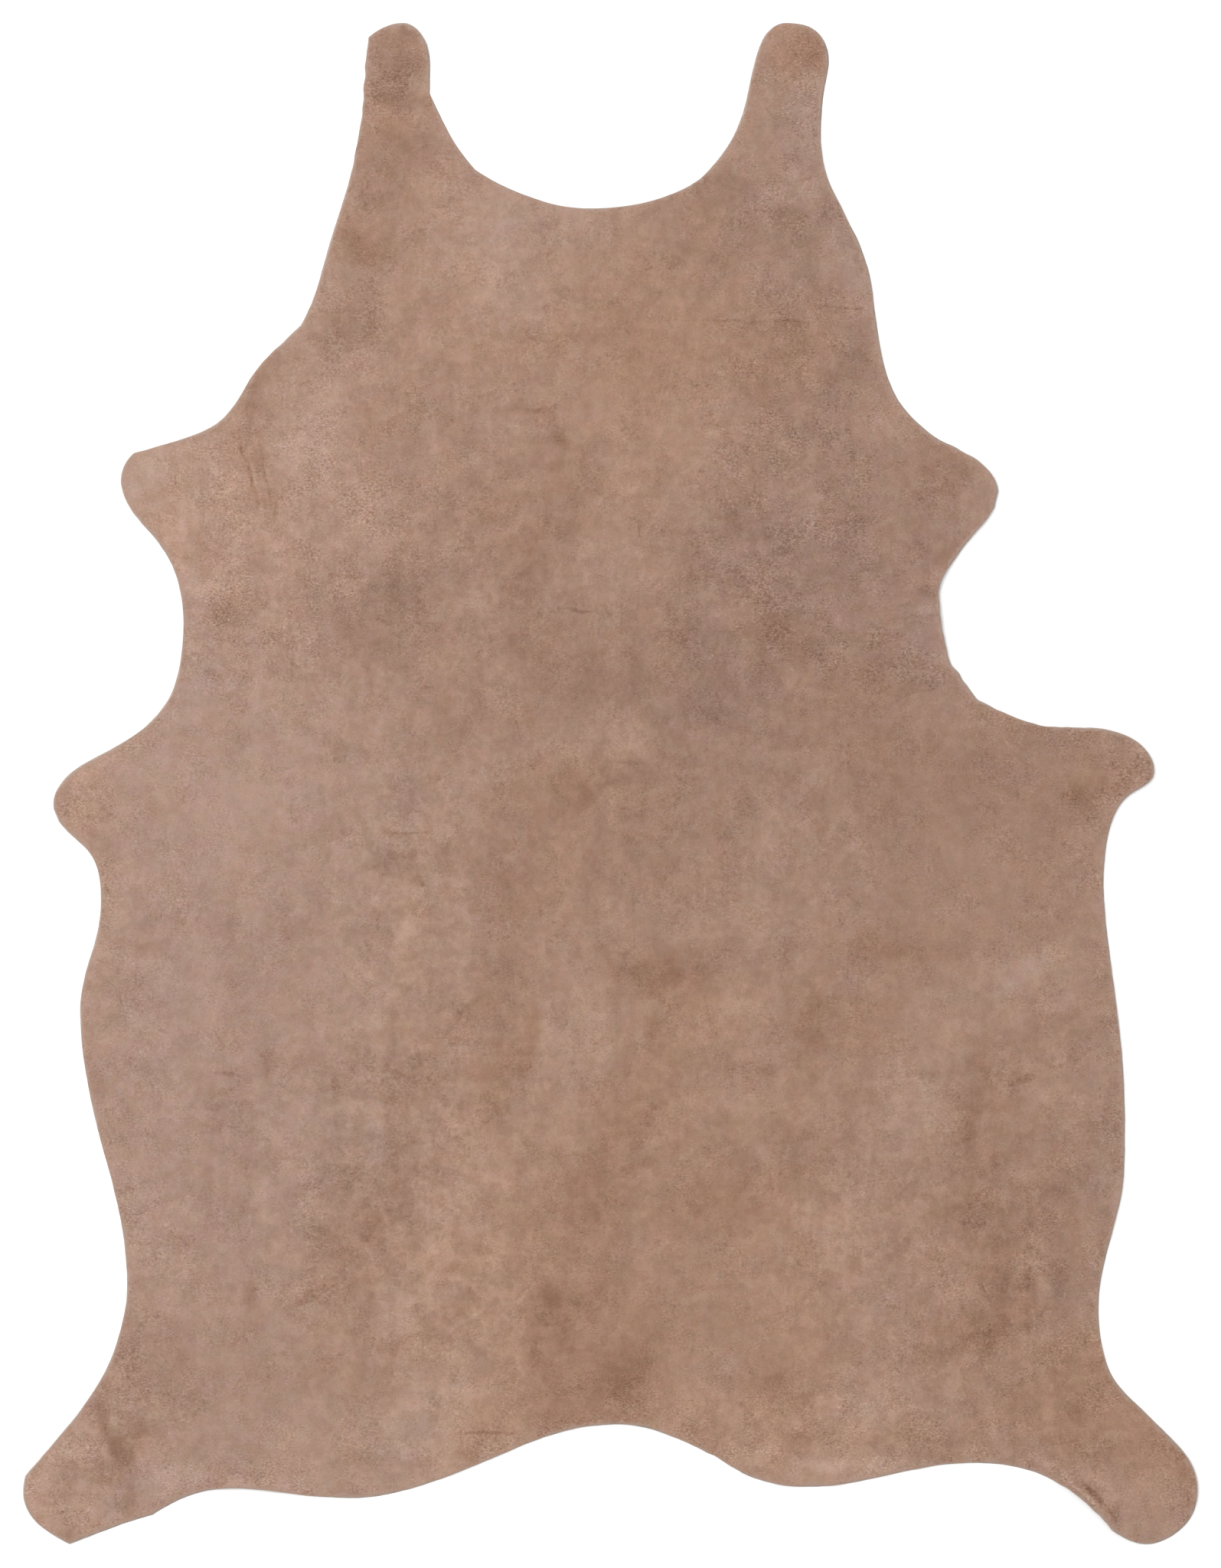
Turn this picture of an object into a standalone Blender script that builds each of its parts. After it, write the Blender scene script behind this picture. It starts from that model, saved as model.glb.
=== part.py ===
"""A leather hide laid out flat: one cut skin with two neck tabs, forelegs, flank points and hind legs.

It is 1.53 m across the hind legs and 1.99 m from the neck tabs to the hind legs.
Metres, +Z up. +Y runs along the spine towards the neck and +X across to the right, seen from above.
The origin is under the middle of the hide, on the surface that it rests on.
"""

from collections import namedtuple
from math import ceil, cos, hypot, radians, sin

import bmesh
import bpy
from mathutils import Vector

THICKNESS = 0.002  # a cow hide split to 2 mm
MM = 0.001

LONGEST_STEP = 0.045  # between outline points, along a straight run
WIDEST_TURN = 9.0  # degrees of bend between outline points, round a curve
FEWEST_STEPS = 2  # in a run between two stations

LEATHER_COLOUR = (0.386, 0.238, 0.178, 1.0)  # linear: a dusty tan
LEATHER_ROUGHNESS = 0.95

# The cut edge, clockwise from the left neck tab, as a knife would follow it. Each row is one station on the
# cut: where it is on the hide, in millimetres from the hide's middle, and the heading of the cut there, in
# degrees (0 across to the right, 90 up the spine). A corner also has the heading that the cut leaves with.
Station = namedtuple("Station", "place x_mm y_mm heading_deg leaving_deg", defaults=(None,))

CUT = (
    # left neck tab and the neck's arch
    Station("left neck tab, outer corner", -316, 974, 84, 42),
    Station("left neck tab, top", -270, 993, -2),
    Station("left neck tab, shoulder", -245, 974, -58),
    Station("left neck tab, inner side", -236, 940, -90),
    Station("left neck tab, inner root", -236, 901, -92, -62),
    Station("neck arch, left side", -206, 840, -60),
    Station("neck arch, left corner", -177, 802, -52, -34),
    Station("neck arch, left bottom", -93, 762, -18),
    Station("neck arch, bottom", -28, 751, 0),
    Station("neck arch, right bottom", 100, 779, 28),
    Station("neck arch, right side", 153, 833, 57),
    Station("neck arch, right top", 177, 891, 77),
    # right neck tab, shoulder and foreleg
    Station("right neck tab, inner side", 194, 961, 70),
    Station("right neck tab, inner corner", 213, 988, 36),
    Station("right neck tab, top", 247, 992, -5),
    Station("right neck tab, shoulder", 282, 963, -70),
    Station("right neck tab, outer side", 279, 902, -98),
    Station("right neck tab, waist", 275, 850, -90),
    Station("right neck tab, root", 280, 802, -73),
    Station("right neck", 323, 710, -65),
    Station("right throat", 345, 621, -84),
    Station("right shoulder", 365, 523, -70),
    Station("right shoulder, foot", 424, 453, -35),
    Station("right foreleg, top", 482, 420, -40),
    Station("right foreleg, tip", 506, 380, -90),
    Station("right foreleg, under", 460, 307, -124),
    Station("right bay, top", 429, 236, -78),
    Station("right bay, middle", 441, 166, -68),
    Station("right bay, bottom", 480, 109, -51, -27),
    Station("right bay, end", 567, 75, -10),
    # right flank point and flank
    Station("right flank point, top", 650, 70, -13),
    Station("right flank point, tip", 710, 15, -90),
    Station("right flank point, under", 677, -16, -140),
    Station("right flank, top", 649, -74, -100),
    Station("right flank, waist", 647, -178, -84),
    Station("right flank, widest", 672, -431, -90),
    Station("right flank, lower", 666, -545, -102),
    Station("right stifle", 638, -700, -86),
    # right hind leg
    Station("right hock", 670, -794, -46),
    Station("right hind leg, outer side", 752, -878, -52),
    Station("right hind leg, tip", 767, -924, -91),
    Station("right hind leg, outer corner", 750, -970, -134),
    Station("right hind leg, end", 700, -994, 180),
    Station("right hind leg, inner corner", 654, -975, 146, 128),
    Station("right hind leg, inner side", 554, -900, 160),
    Station("right thigh, inside", 472, -888, 180),
    # rump
    Station("right rump", 287, -918, 186),
    Station("right rump, lowest", 230, -918, 177),
    Station("right of the tail", 174, -902, 160, 147),
    Station("tail, right side", 42, -841, 165),
    Station("tail", 0, -838, 180),
    Station("tail, left side", -143, -877, 203),
    Station("left rump", -301, -931, 190),
    Station("left rump, lowest", -350, -934, 180),
    Station("left thigh, inside", -500, -921, 182),
    # left hind leg
    Station("left hind leg, inner corner", -598, -956, 215, 194),
    Station("left hind leg, heel", -707, -994, 201, 153),
    Station("left hind leg, tip", -767, -930, 95),
    Station("left hind leg, outer corner", -764, -904, 80, 49),
    Station("left hind leg, outer side", -722, -855, 50),
    Station("left hock", -652, -749, 69),
    Station("left stifle", -632, -657, 90),
    # left flank and flank point
    Station("left flank, lower", -659, -493, 106),
    Station("left flank, widest", -693, -292, 90),
    Station("left flank, waist", -666, -160, 90),
    Station("left flank, top", -684, -87, 132),
    Station("left flank point, tip", -727, -34, 100),
    Station("left flank point, top", -687, 26, 31),
    Station("left flank point, root", -610, 72, 41),
    # left bay, foreleg and shoulder
    Station("left bay, bottom", -567, 137, 77),
    Station("left bay, middle", -558, 210, 90),
    Station("left bay, top", -572, 283, 113),
    Station("left foreleg, under", -617, 345, 130),
    Station("left foreleg, tip", -639, 393, 94),
    Station("left foreleg, corner", -622, 431, 38, 16),
    Station("left foreleg, top", -531, 461, 23),
    Station("left shoulder, foot", -474, 523, 62),
    Station("left shoulder", -405, 599, 46, 58),
    Station("left throat", -373, 685, 75),
    Station("left neck", -332, 832, 81),
    Station("left neck tab, root", -323, 895, 90),
)


def heading(degrees):
    """The direction of travel as a vector of length 1."""
    return Vector((cos(radians(degrees)), sin(radians(degrees))))


def run(start, end):
    """The points of the cut from one station up to the next: a cubic curve along both headings.

    Its pull at each end is what makes the curve a circle's arc where both ends bend alike.
    """
    p, q = Vector((start.x_mm, start.y_mm)) * MM, Vector((end.x_mm, end.y_mm)) * MM
    leaving = start.heading_deg if start.leaving_deg is None else start.leaving_deg
    turn = abs((end.heading_deg - leaving + 180) % 360 - 180)
    chord = (q - p).length
    pull = chord / cos(radians(turn / 4)) ** 2
    a, b = heading(leaving) * pull, heading(end.heading_deg) * pull
    steps = max(FEWEST_STEPS, ceil(chord / LONGEST_STEP), ceil(turn / WIDEST_TURN))
    for i in range(steps):
        t = i / steps
        s = 1 - t
        yield s * s * (1 + 2 * t) * p + t * s * s * a + t * t * (3 - 2 * t) * q - t * t * s * b


def outline():
    """The whole cut edge, counter-clockwise, centred on the origin."""
    points = [p for start, end in zip(CUT, CUT[1:] + CUT[:1]) for p in run(start, end)]
    middle = Vector([(min(axis) + max(axis)) / 2 for axis in zip(*points)])
    return [p - middle for p in reversed(points)]


def leather():
    """A plain dusty tan with no shine."""
    material = bpy.data.materials.new("suede_leather")
    material.use_nodes = True
    shader = material.node_tree.nodes["Principled BSDF"]
    shader.inputs["Base Color"].default_value = LEATHER_COLOUR
    shader.inputs["Roughness"].default_value = LEATHER_ROUGHNESS
    shader.inputs["Metallic"].default_value = 0.0
    return material


def hide():
    """The skin: its outline on the ground, extruded to its thickness."""
    shape = bmesh.new()
    underside = shape.faces.new([shape.verts.new((p.x, p.y, 0)) for p in outline()])
    top = bmesh.ops.extrude_face_region(shape, geom=[underside], use_keep_orig=True)["geom"]
    raised = [g for g in top if isinstance(g, bmesh.types.BMVert)]
    bmesh.ops.translate(shape, verts=raised, vec=(0, 0, THICKNESS))
    bmesh.ops.recalc_face_normals(shape, faces=shape.faces)
    mesh = bpy.data.meshes.new("hide")
    shape.to_mesh(mesh)
    shape.free()
    mesh.materials.append(leather())
    bpy.context.collection.objects.link(bpy.data.objects.new("hide", mesh))


for old in list(bpy.data.objects):
    bpy.data.objects.remove(old, do_unlink=True)
hide()
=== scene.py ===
import math
from collections import namedtuple

import bmesh
import bpy
import numpy as np
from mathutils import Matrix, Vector, geometry, kdtree, noise


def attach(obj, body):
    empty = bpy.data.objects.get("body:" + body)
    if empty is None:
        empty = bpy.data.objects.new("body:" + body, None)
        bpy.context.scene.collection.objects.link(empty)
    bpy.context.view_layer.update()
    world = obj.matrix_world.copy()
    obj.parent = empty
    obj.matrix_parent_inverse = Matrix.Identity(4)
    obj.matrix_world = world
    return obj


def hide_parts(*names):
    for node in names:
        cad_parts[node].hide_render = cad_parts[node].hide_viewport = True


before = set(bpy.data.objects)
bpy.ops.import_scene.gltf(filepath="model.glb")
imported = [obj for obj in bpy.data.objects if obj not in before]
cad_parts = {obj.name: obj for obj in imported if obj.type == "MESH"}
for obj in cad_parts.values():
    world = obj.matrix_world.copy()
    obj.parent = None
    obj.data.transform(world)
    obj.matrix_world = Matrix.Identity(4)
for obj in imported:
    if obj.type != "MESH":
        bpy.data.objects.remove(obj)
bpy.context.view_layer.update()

mm = 0.001

# The hide lies on the floor at z = 0, head end towards +Y and backbone along Y.
# Tables give places in millimetres and headings in degrees from +X, anticlockwise.


def table(fields, rows):
    # rows with named values; those left off a row's end are 0
    names = fields.split()
    kind = namedtuple("Row", names, defaults=[0] * len(names))
    return [kind(*row) for row in rows]


hide = {
    "name": "suedeHide",
    "node": "hide",
    "slot": "suede_leather",
    "cutWidth": 1.534,
    "cutLength": 1.987,
    "cutArea": 2.018,
    "thickness": 2.0 * mm,
    "meshStep": 7.4 * mm,     # halved beside creases and narrow marks
    "meshRoom": 0.55,         # steps kept free inside the first row
    "creaseRoom": 2.2,        # widths of a crease, and sizes of a mark, that have the fine mesh
    "markRoom": (1.2, 1.5),
    "underStep": 15.0 * mm,
    "underRoom": 0.6,         # steps kept free inside the foot of the cut
    "edgeStep": 4.0 * mm,
    "firstRow": 3.5 * mm,     # from the cut to the first row of points inside it
    "cornerTurn": 14.8,       # a sharper turn of the solid's outline stays a corner
    "bevel": 0.3 * mm,
    "bevelSegments": 2,
    "bevelAngle": 30.0,
    "sharpAngle": 50.0,
}
onSuede, onFlesh, onCut = 0, 1, 2      # the sides' material slots

# Waves are soft and random. Each has its height, its length and a seed.
cut = {
    "wander": (0.5 * mm, 34 * mm, 3.1),      # how far the knife strays from its line
    "tremble": (0.25 * mm, 9 * mm, 8.4),
    "nickEnd": 1.3,           # reaches from a nick's place to where it has faded out
    "slantLeast": 0.4 * mm,   # how far the cut face leans out, as seen from above
    "slantMost": 2.4 * mm,
    "slant": (0.9, 45 * mm, 5.7),            # a share of the way from least to most
}

# Stretches where the knife was less steady.
nicks = table("place x y reach depth spacing", [
    ("left neck tab, outer side", -322, 905, 60, 2.4, 17),
    ("left neck, outer side", -340, 800, 70, 0.8, 20),
    ("right bay, lower half", 445, 150, 62, 2.4, 15),
    ("right bay, below", 540, 78, 70, 1.4, 16),
    ("right bay, middle", 428, 245, 40, 1.0, 16),
    ("left shoulder", -450, 555, 60, 1.4, 19),
    ("right foreleg, upper side", 450, 440, 60, 1.0, 17),
    ("right hind leg, inner side", 620, -930, 60, 1.2, 16),
    ("right rump", 150, -890, 60, 0.9, 16),
])


def crossings(outline, y):
    xs = []
    for (x1, y1), (x2, y2) in zip(outline, np.roll(outline, -1, axis=0)):
        if (y1 <= y) != (y2 <= y):
            xs.append(x1 + (x2 - x1) * (y - y1) / (y2 - y1))
    return sorted(xs)


def solidOutline(node):
    # the corners of the solid's top face, in order
    weld, slack, steep = 0.01 * mm, 0.1 * mm, 0.5
    shape = bmesh.new()
    shape.from_mesh(node.data)
    bmesh.ops.remove_doubles(shape, verts=shape.verts, dist=weld)
    top = max(vert.co.z for vert in shape.verts) - slack
    follows = {}
    for edge in shape.edges:
        upright = [face for face in edge.link_faces if abs(face.normal.z) < steep]
        if len(upright) == 1 and all(vert.co.z > top for vert in edge.verts):
            lid = next(loop for loop in edge.link_loops if loop.face not in upright)
            follows[lid.vert] = lid.link_loop_next.vert
    start = min(follows, key=lambda vert: (vert.co.x, vert.co.y))
    corners = [start]
    while follows[corners[-1]] is not start:
        corners.append(follows[corners[-1]])
    points = np.array([vert.co.xy for vert in corners])
    shape.free()
    return points


def unit(vectors):
    return vectors / np.linalg.norm(vectors, axis=-1, keepdims=True)


def mirrored(vector, line):
    return 2 * (line @ vector) * line - vector


def smoothOutline(corners):
    # a curve through the solid's corners, with a point every edgeStep
    chord = np.roll(corners, -1, axis=0) - corners
    length = np.linalg.norm(chord, axis=1)
    onward = unit(chord)
    before = np.roll(onward, 1, axis=0)
    turn = np.degrees(np.arccos(np.clip((onward * before).sum(axis=1), -1, 1)))
    smooth = turn < hide["cornerTurn"]
    weight = np.roll(length, 1)[:, None]
    tangent = unit(onward * weight + before * length[:, None])
    points = []
    count = len(corners)
    for i in range(count):
        j = (i + 1) % count
        leaving = arriving = onward[i]
        if smooth[i] or smooth[j]:
            leaving = tangent[i] if smooth[i] else mirrored(tangent[j], onward[i])
            arriving = tangent[j] if smooth[j] else mirrored(tangent[i], onward[i])
        steps = max(1, round(length[i] / hide["edgeStep"]))
        for t in np.arange(steps) / steps:
            points.append(
                (2 * t**3 - 3 * t**2 + 1) * corners[i]
                + (t**3 - 2 * t**2 + t) * leaving * length[i]
                + (3 * t**2 - 2 * t**3) * corners[j]
                + (t**3 - t**2) * arriving * length[i]
            )
    return np.array(points)


def outwards(outline):
    # the direction away from the leather at each point of an anticlockwise line
    along = np.roll(outline, -1, axis=0) - np.roll(outline, 1, axis=0)
    return unit(np.column_stack([along[:, 1], -along[:, 0]]))


def wave(points, height, length, seed):
    values = [noise.noise((x / length, y / length, seed)) for x, y in points]
    return height * np.array(values)


def ease(values):
    share = np.clip(values, 0, 1)
    return share * share * (3 - 2 * share)


def awayFrom(points, row):
    return np.linalg.norm(points - np.array([row.x, row.y]) * mm, axis=1) / (row.reach * mm)


def knifeLine(outline):
    # the line with the knife's own small faults
    stray = wave(outline, *cut["wander"]) + wave(outline, *cut["tremble"])
    for row in nicks:
        near = ease(cut["nickEnd"] - awayFrom(outline, row))
        stray += near * wave(outline, row.depth * mm, row.spacing * mm, row.reach)
    return outline + outwards(outline) * stray[:, None]


def lean(outline):
    # how far the top of the cut stands back from its foot
    share = ease(0.5 + wave(outline, *cut["slant"]))
    return cut["slantLeast"] + (cut["slantMost"] - cut["slantLeast"]) * share


def searchTree(outline):
    tree = kdtree.KDTree(len(outline))
    for index, (x, y) in enumerate(outline):
        tree.insert((x, y, 0), index)
    tree.balance()
    return tree


def distances(outline, points):
    # from each point to the nearest point of the outline
    tree = searchTree(outline)
    return np.array([tree.find((x, y, 0))[2] for x, y in points])


def turned(points, row):
    # distances along and across a table row's own heading, from its place, in metres
    angle = math.radians(row.heading)
    away = points - np.array([row.x, row.y]) * mm
    along = away @ np.array([math.cos(angle), math.sin(angle)])
    across = away @ np.array([-math.sin(angle), math.cos(angle)])
    return along, across


relief = {
    "swell": (2.4 * mm, 210 * mm, 2.3),
    "settle": 0.15 * mm,      # how much lower than its swells the leather lies
    "ripple": (0.45 * mm, 62 * mm, 6.9),
    "headToTail": 1.5,        # swells are this much longer along the backbone
    "contact": 0.4 * mm,      # softness of the line where the sheet touches the floor
    "curlEnd": 1.15,          # reaches from a curl's place to where it has faded out
    "curlSink": 0.45,         # share of its reach over which a curl sinks from the cut inwards
    "creaseFade": 1.5,        # the larger it is, the more sudden a crease's ends
    "highest": 9.5 * mm,
}

# Places where the cut edge stands up a little from the floor.
curls = table("place x y reach height", [
    ("left neck tab", -285, 985, 90, 3.0),
    ("right neck tab", 245, 985, 90, 2.2),
    ("left foreleg", -632, 395, 100, 3.6),
    ("right foreleg", 500, 385, 90, 1.4),
    ("left flank point", -722, -20, 90, 3.2),
    ("right flank point", 700, 25, 90, 1.5),
    ("left hind leg", -755, -915, 110, 3.4),
    ("right hind leg, outer side", 758, -900, 90, 1.2),
    ("right hind leg, inner side", 640, -955, 95, 5.2),
    ("left flank", -690, -290, 180, 1.8),
    ("right flank", 672, -460, 200, 1.0),
    ("left bay", -555, 230, 110, 1.4),
    ("right bay", 430, 240, 100, 2.0),
    ("neck arch", -10, 750, 140, 1.6),
    ("tail arch", 15, -835, 130, 2.0),
    ("left rump", -480, -925, 90, 3.4),
    ("right rump", 260, -915, 150, 1.7),
])

# Soft creases. A height above 0 is a ridge; below 0 it is a trough between two low shoulders.
creases = table("place x y length heading width height bend", [
    ("withers fold", -130, 482, 190, 2, 16, -1.5, -14),
    ("withers fold, right end", -62, 448, 90, -42, 13, -1.3, 4),
    ("upper rib", 40, -440, 170, 24, 22, 1.1, 10),
    ("middle rib", 70, -490, 190, 22, 24, 1.3, 12),
    ("lower rib", 20, -540, 150, 30, 20, 1.0, 6),
    ("left rib line", -286, -450, 320, 88, 15, -1.2, -8),
    ("left upper line", -285, -190, 220, 92, 15, -0.9, 6),
    ("tail crescent", -175, -705, 90, 28, 14, -1.3, 14),
    ("right flank crease", 555, -372, 150, 18, 14, -1.4, -6),
    ("right flank crease, upper", 590, -308, 130, 4, 13, -1.1, 5),
    ("right flank hollow", 480, -440, 190, 86, 24, -1.2, 6),
    ("right thigh streak", 556, -655, 130, 97, 12, -1.1, 4),
    ("right thigh ridge", 575, -690, 120, 95, 14, 0.9, -4),
    ("right lip", 627, -938, 130, -43, 10, -2.8, -4),
    ("left hind trough", -656, -838, 130, 114, 13, -1.8, 5),
    ("left thigh fold", -365, -645, 160, 12, 14, -1.2, 8),
    ("left thigh line", -545, -680, 170, -48, 13, 0.9, 6),
    ("left shoulder streak", -470, 440, 190, 84, 12, -1.0, 6),
    ("left elbow pleats", -430, 180, 130, 88, 11, -0.9, 4),
    ("left elbow pleat", -395, 165, 110, 92, 10, -0.8, -4),
    ("right elbow crease", 215, 190, 130, -24, 16, -1.3, 8),
    ("right shoulder fold", 205, 480, 110, -58, 16, -1.1, 6),
    ("right armpit", 612, -30, 90, 78, 14, -1.2, 4),
    ("left neck crease", -325, 708, 100, -6, 14, -1.1, 4),
    ("right neck crease", 235, 770, 120, 8, 15, -1.0, -6),
])


def alongCrease(points, row):
    # the share of its half length at each point, and the distance across its bent line
    along, across = turned(points, row)
    share = along / (row.length * mm / 2)
    return share, across - row.bend * mm * share**2


def liftAt(points, fromCut):
    # height of the sheet's underside above the floor
    squeezed = points / np.array([1, relief["headToTail"]])
    height = wave(squeezed, *relief["swell"]) - relief["settle"]
    height += wave(squeezed, *relief["ripple"])
    for row in curls:
        standing = np.exp(-fromCut / (relief["curlSink"] * row.reach * mm))
        height += row.height * mm * ease(relief["curlEnd"] - awayFrom(points, row)) * standing
    height = relief["contact"] * np.logaddexp(0, height / relief["contact"])
    for row in creases:
        along, across = alongCrease(points, row)
        share = (across / (row.width * mm)) ** 2
        profile = np.exp(-share) if row.height > 0 else math.e * share * np.exp(-share)
        height += abs(row.height) * mm * profile * ease(relief["creaseFade"] * (1 - abs(along)))
    return np.minimum(height, relief["highest"])


paint = {
    # waves that make the patches' outlines stray along X and along Y
    "warpLarge": ((14 * mm, 95 * mm, 11.3), (14 * mm, 95 * mm, 17.9)),
    "warpSmall": ((13 * mm, 30 * mm, 23.1), (13 * mm, 30 * mm, 31.7)),
    "falloff": 0.9,           # how soon a patch fades past its size
    "patchEdge": 2.4,         # the larger it is, the crisper the border
    "markEdge": 3.2,
    "markStray": 0.3,         # marks lie on creases and stray this much as far as patches
    "markStrength": 0.85,
    "edgeRough": 0.9,         # extra nap along the cut, below the shoulders
    "edgeRoughReach": 60 * mm,
    "edgeRoughTop": 100 * mm,
    "edgePale": 3.5,          # levels gained towards the cut, fading inwards over edgePaleReach
    "edgePaleReach": 22 * mm,
    "edgeReach": 30 * mm,     # distances to the cut are kept up to here
}
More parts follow.
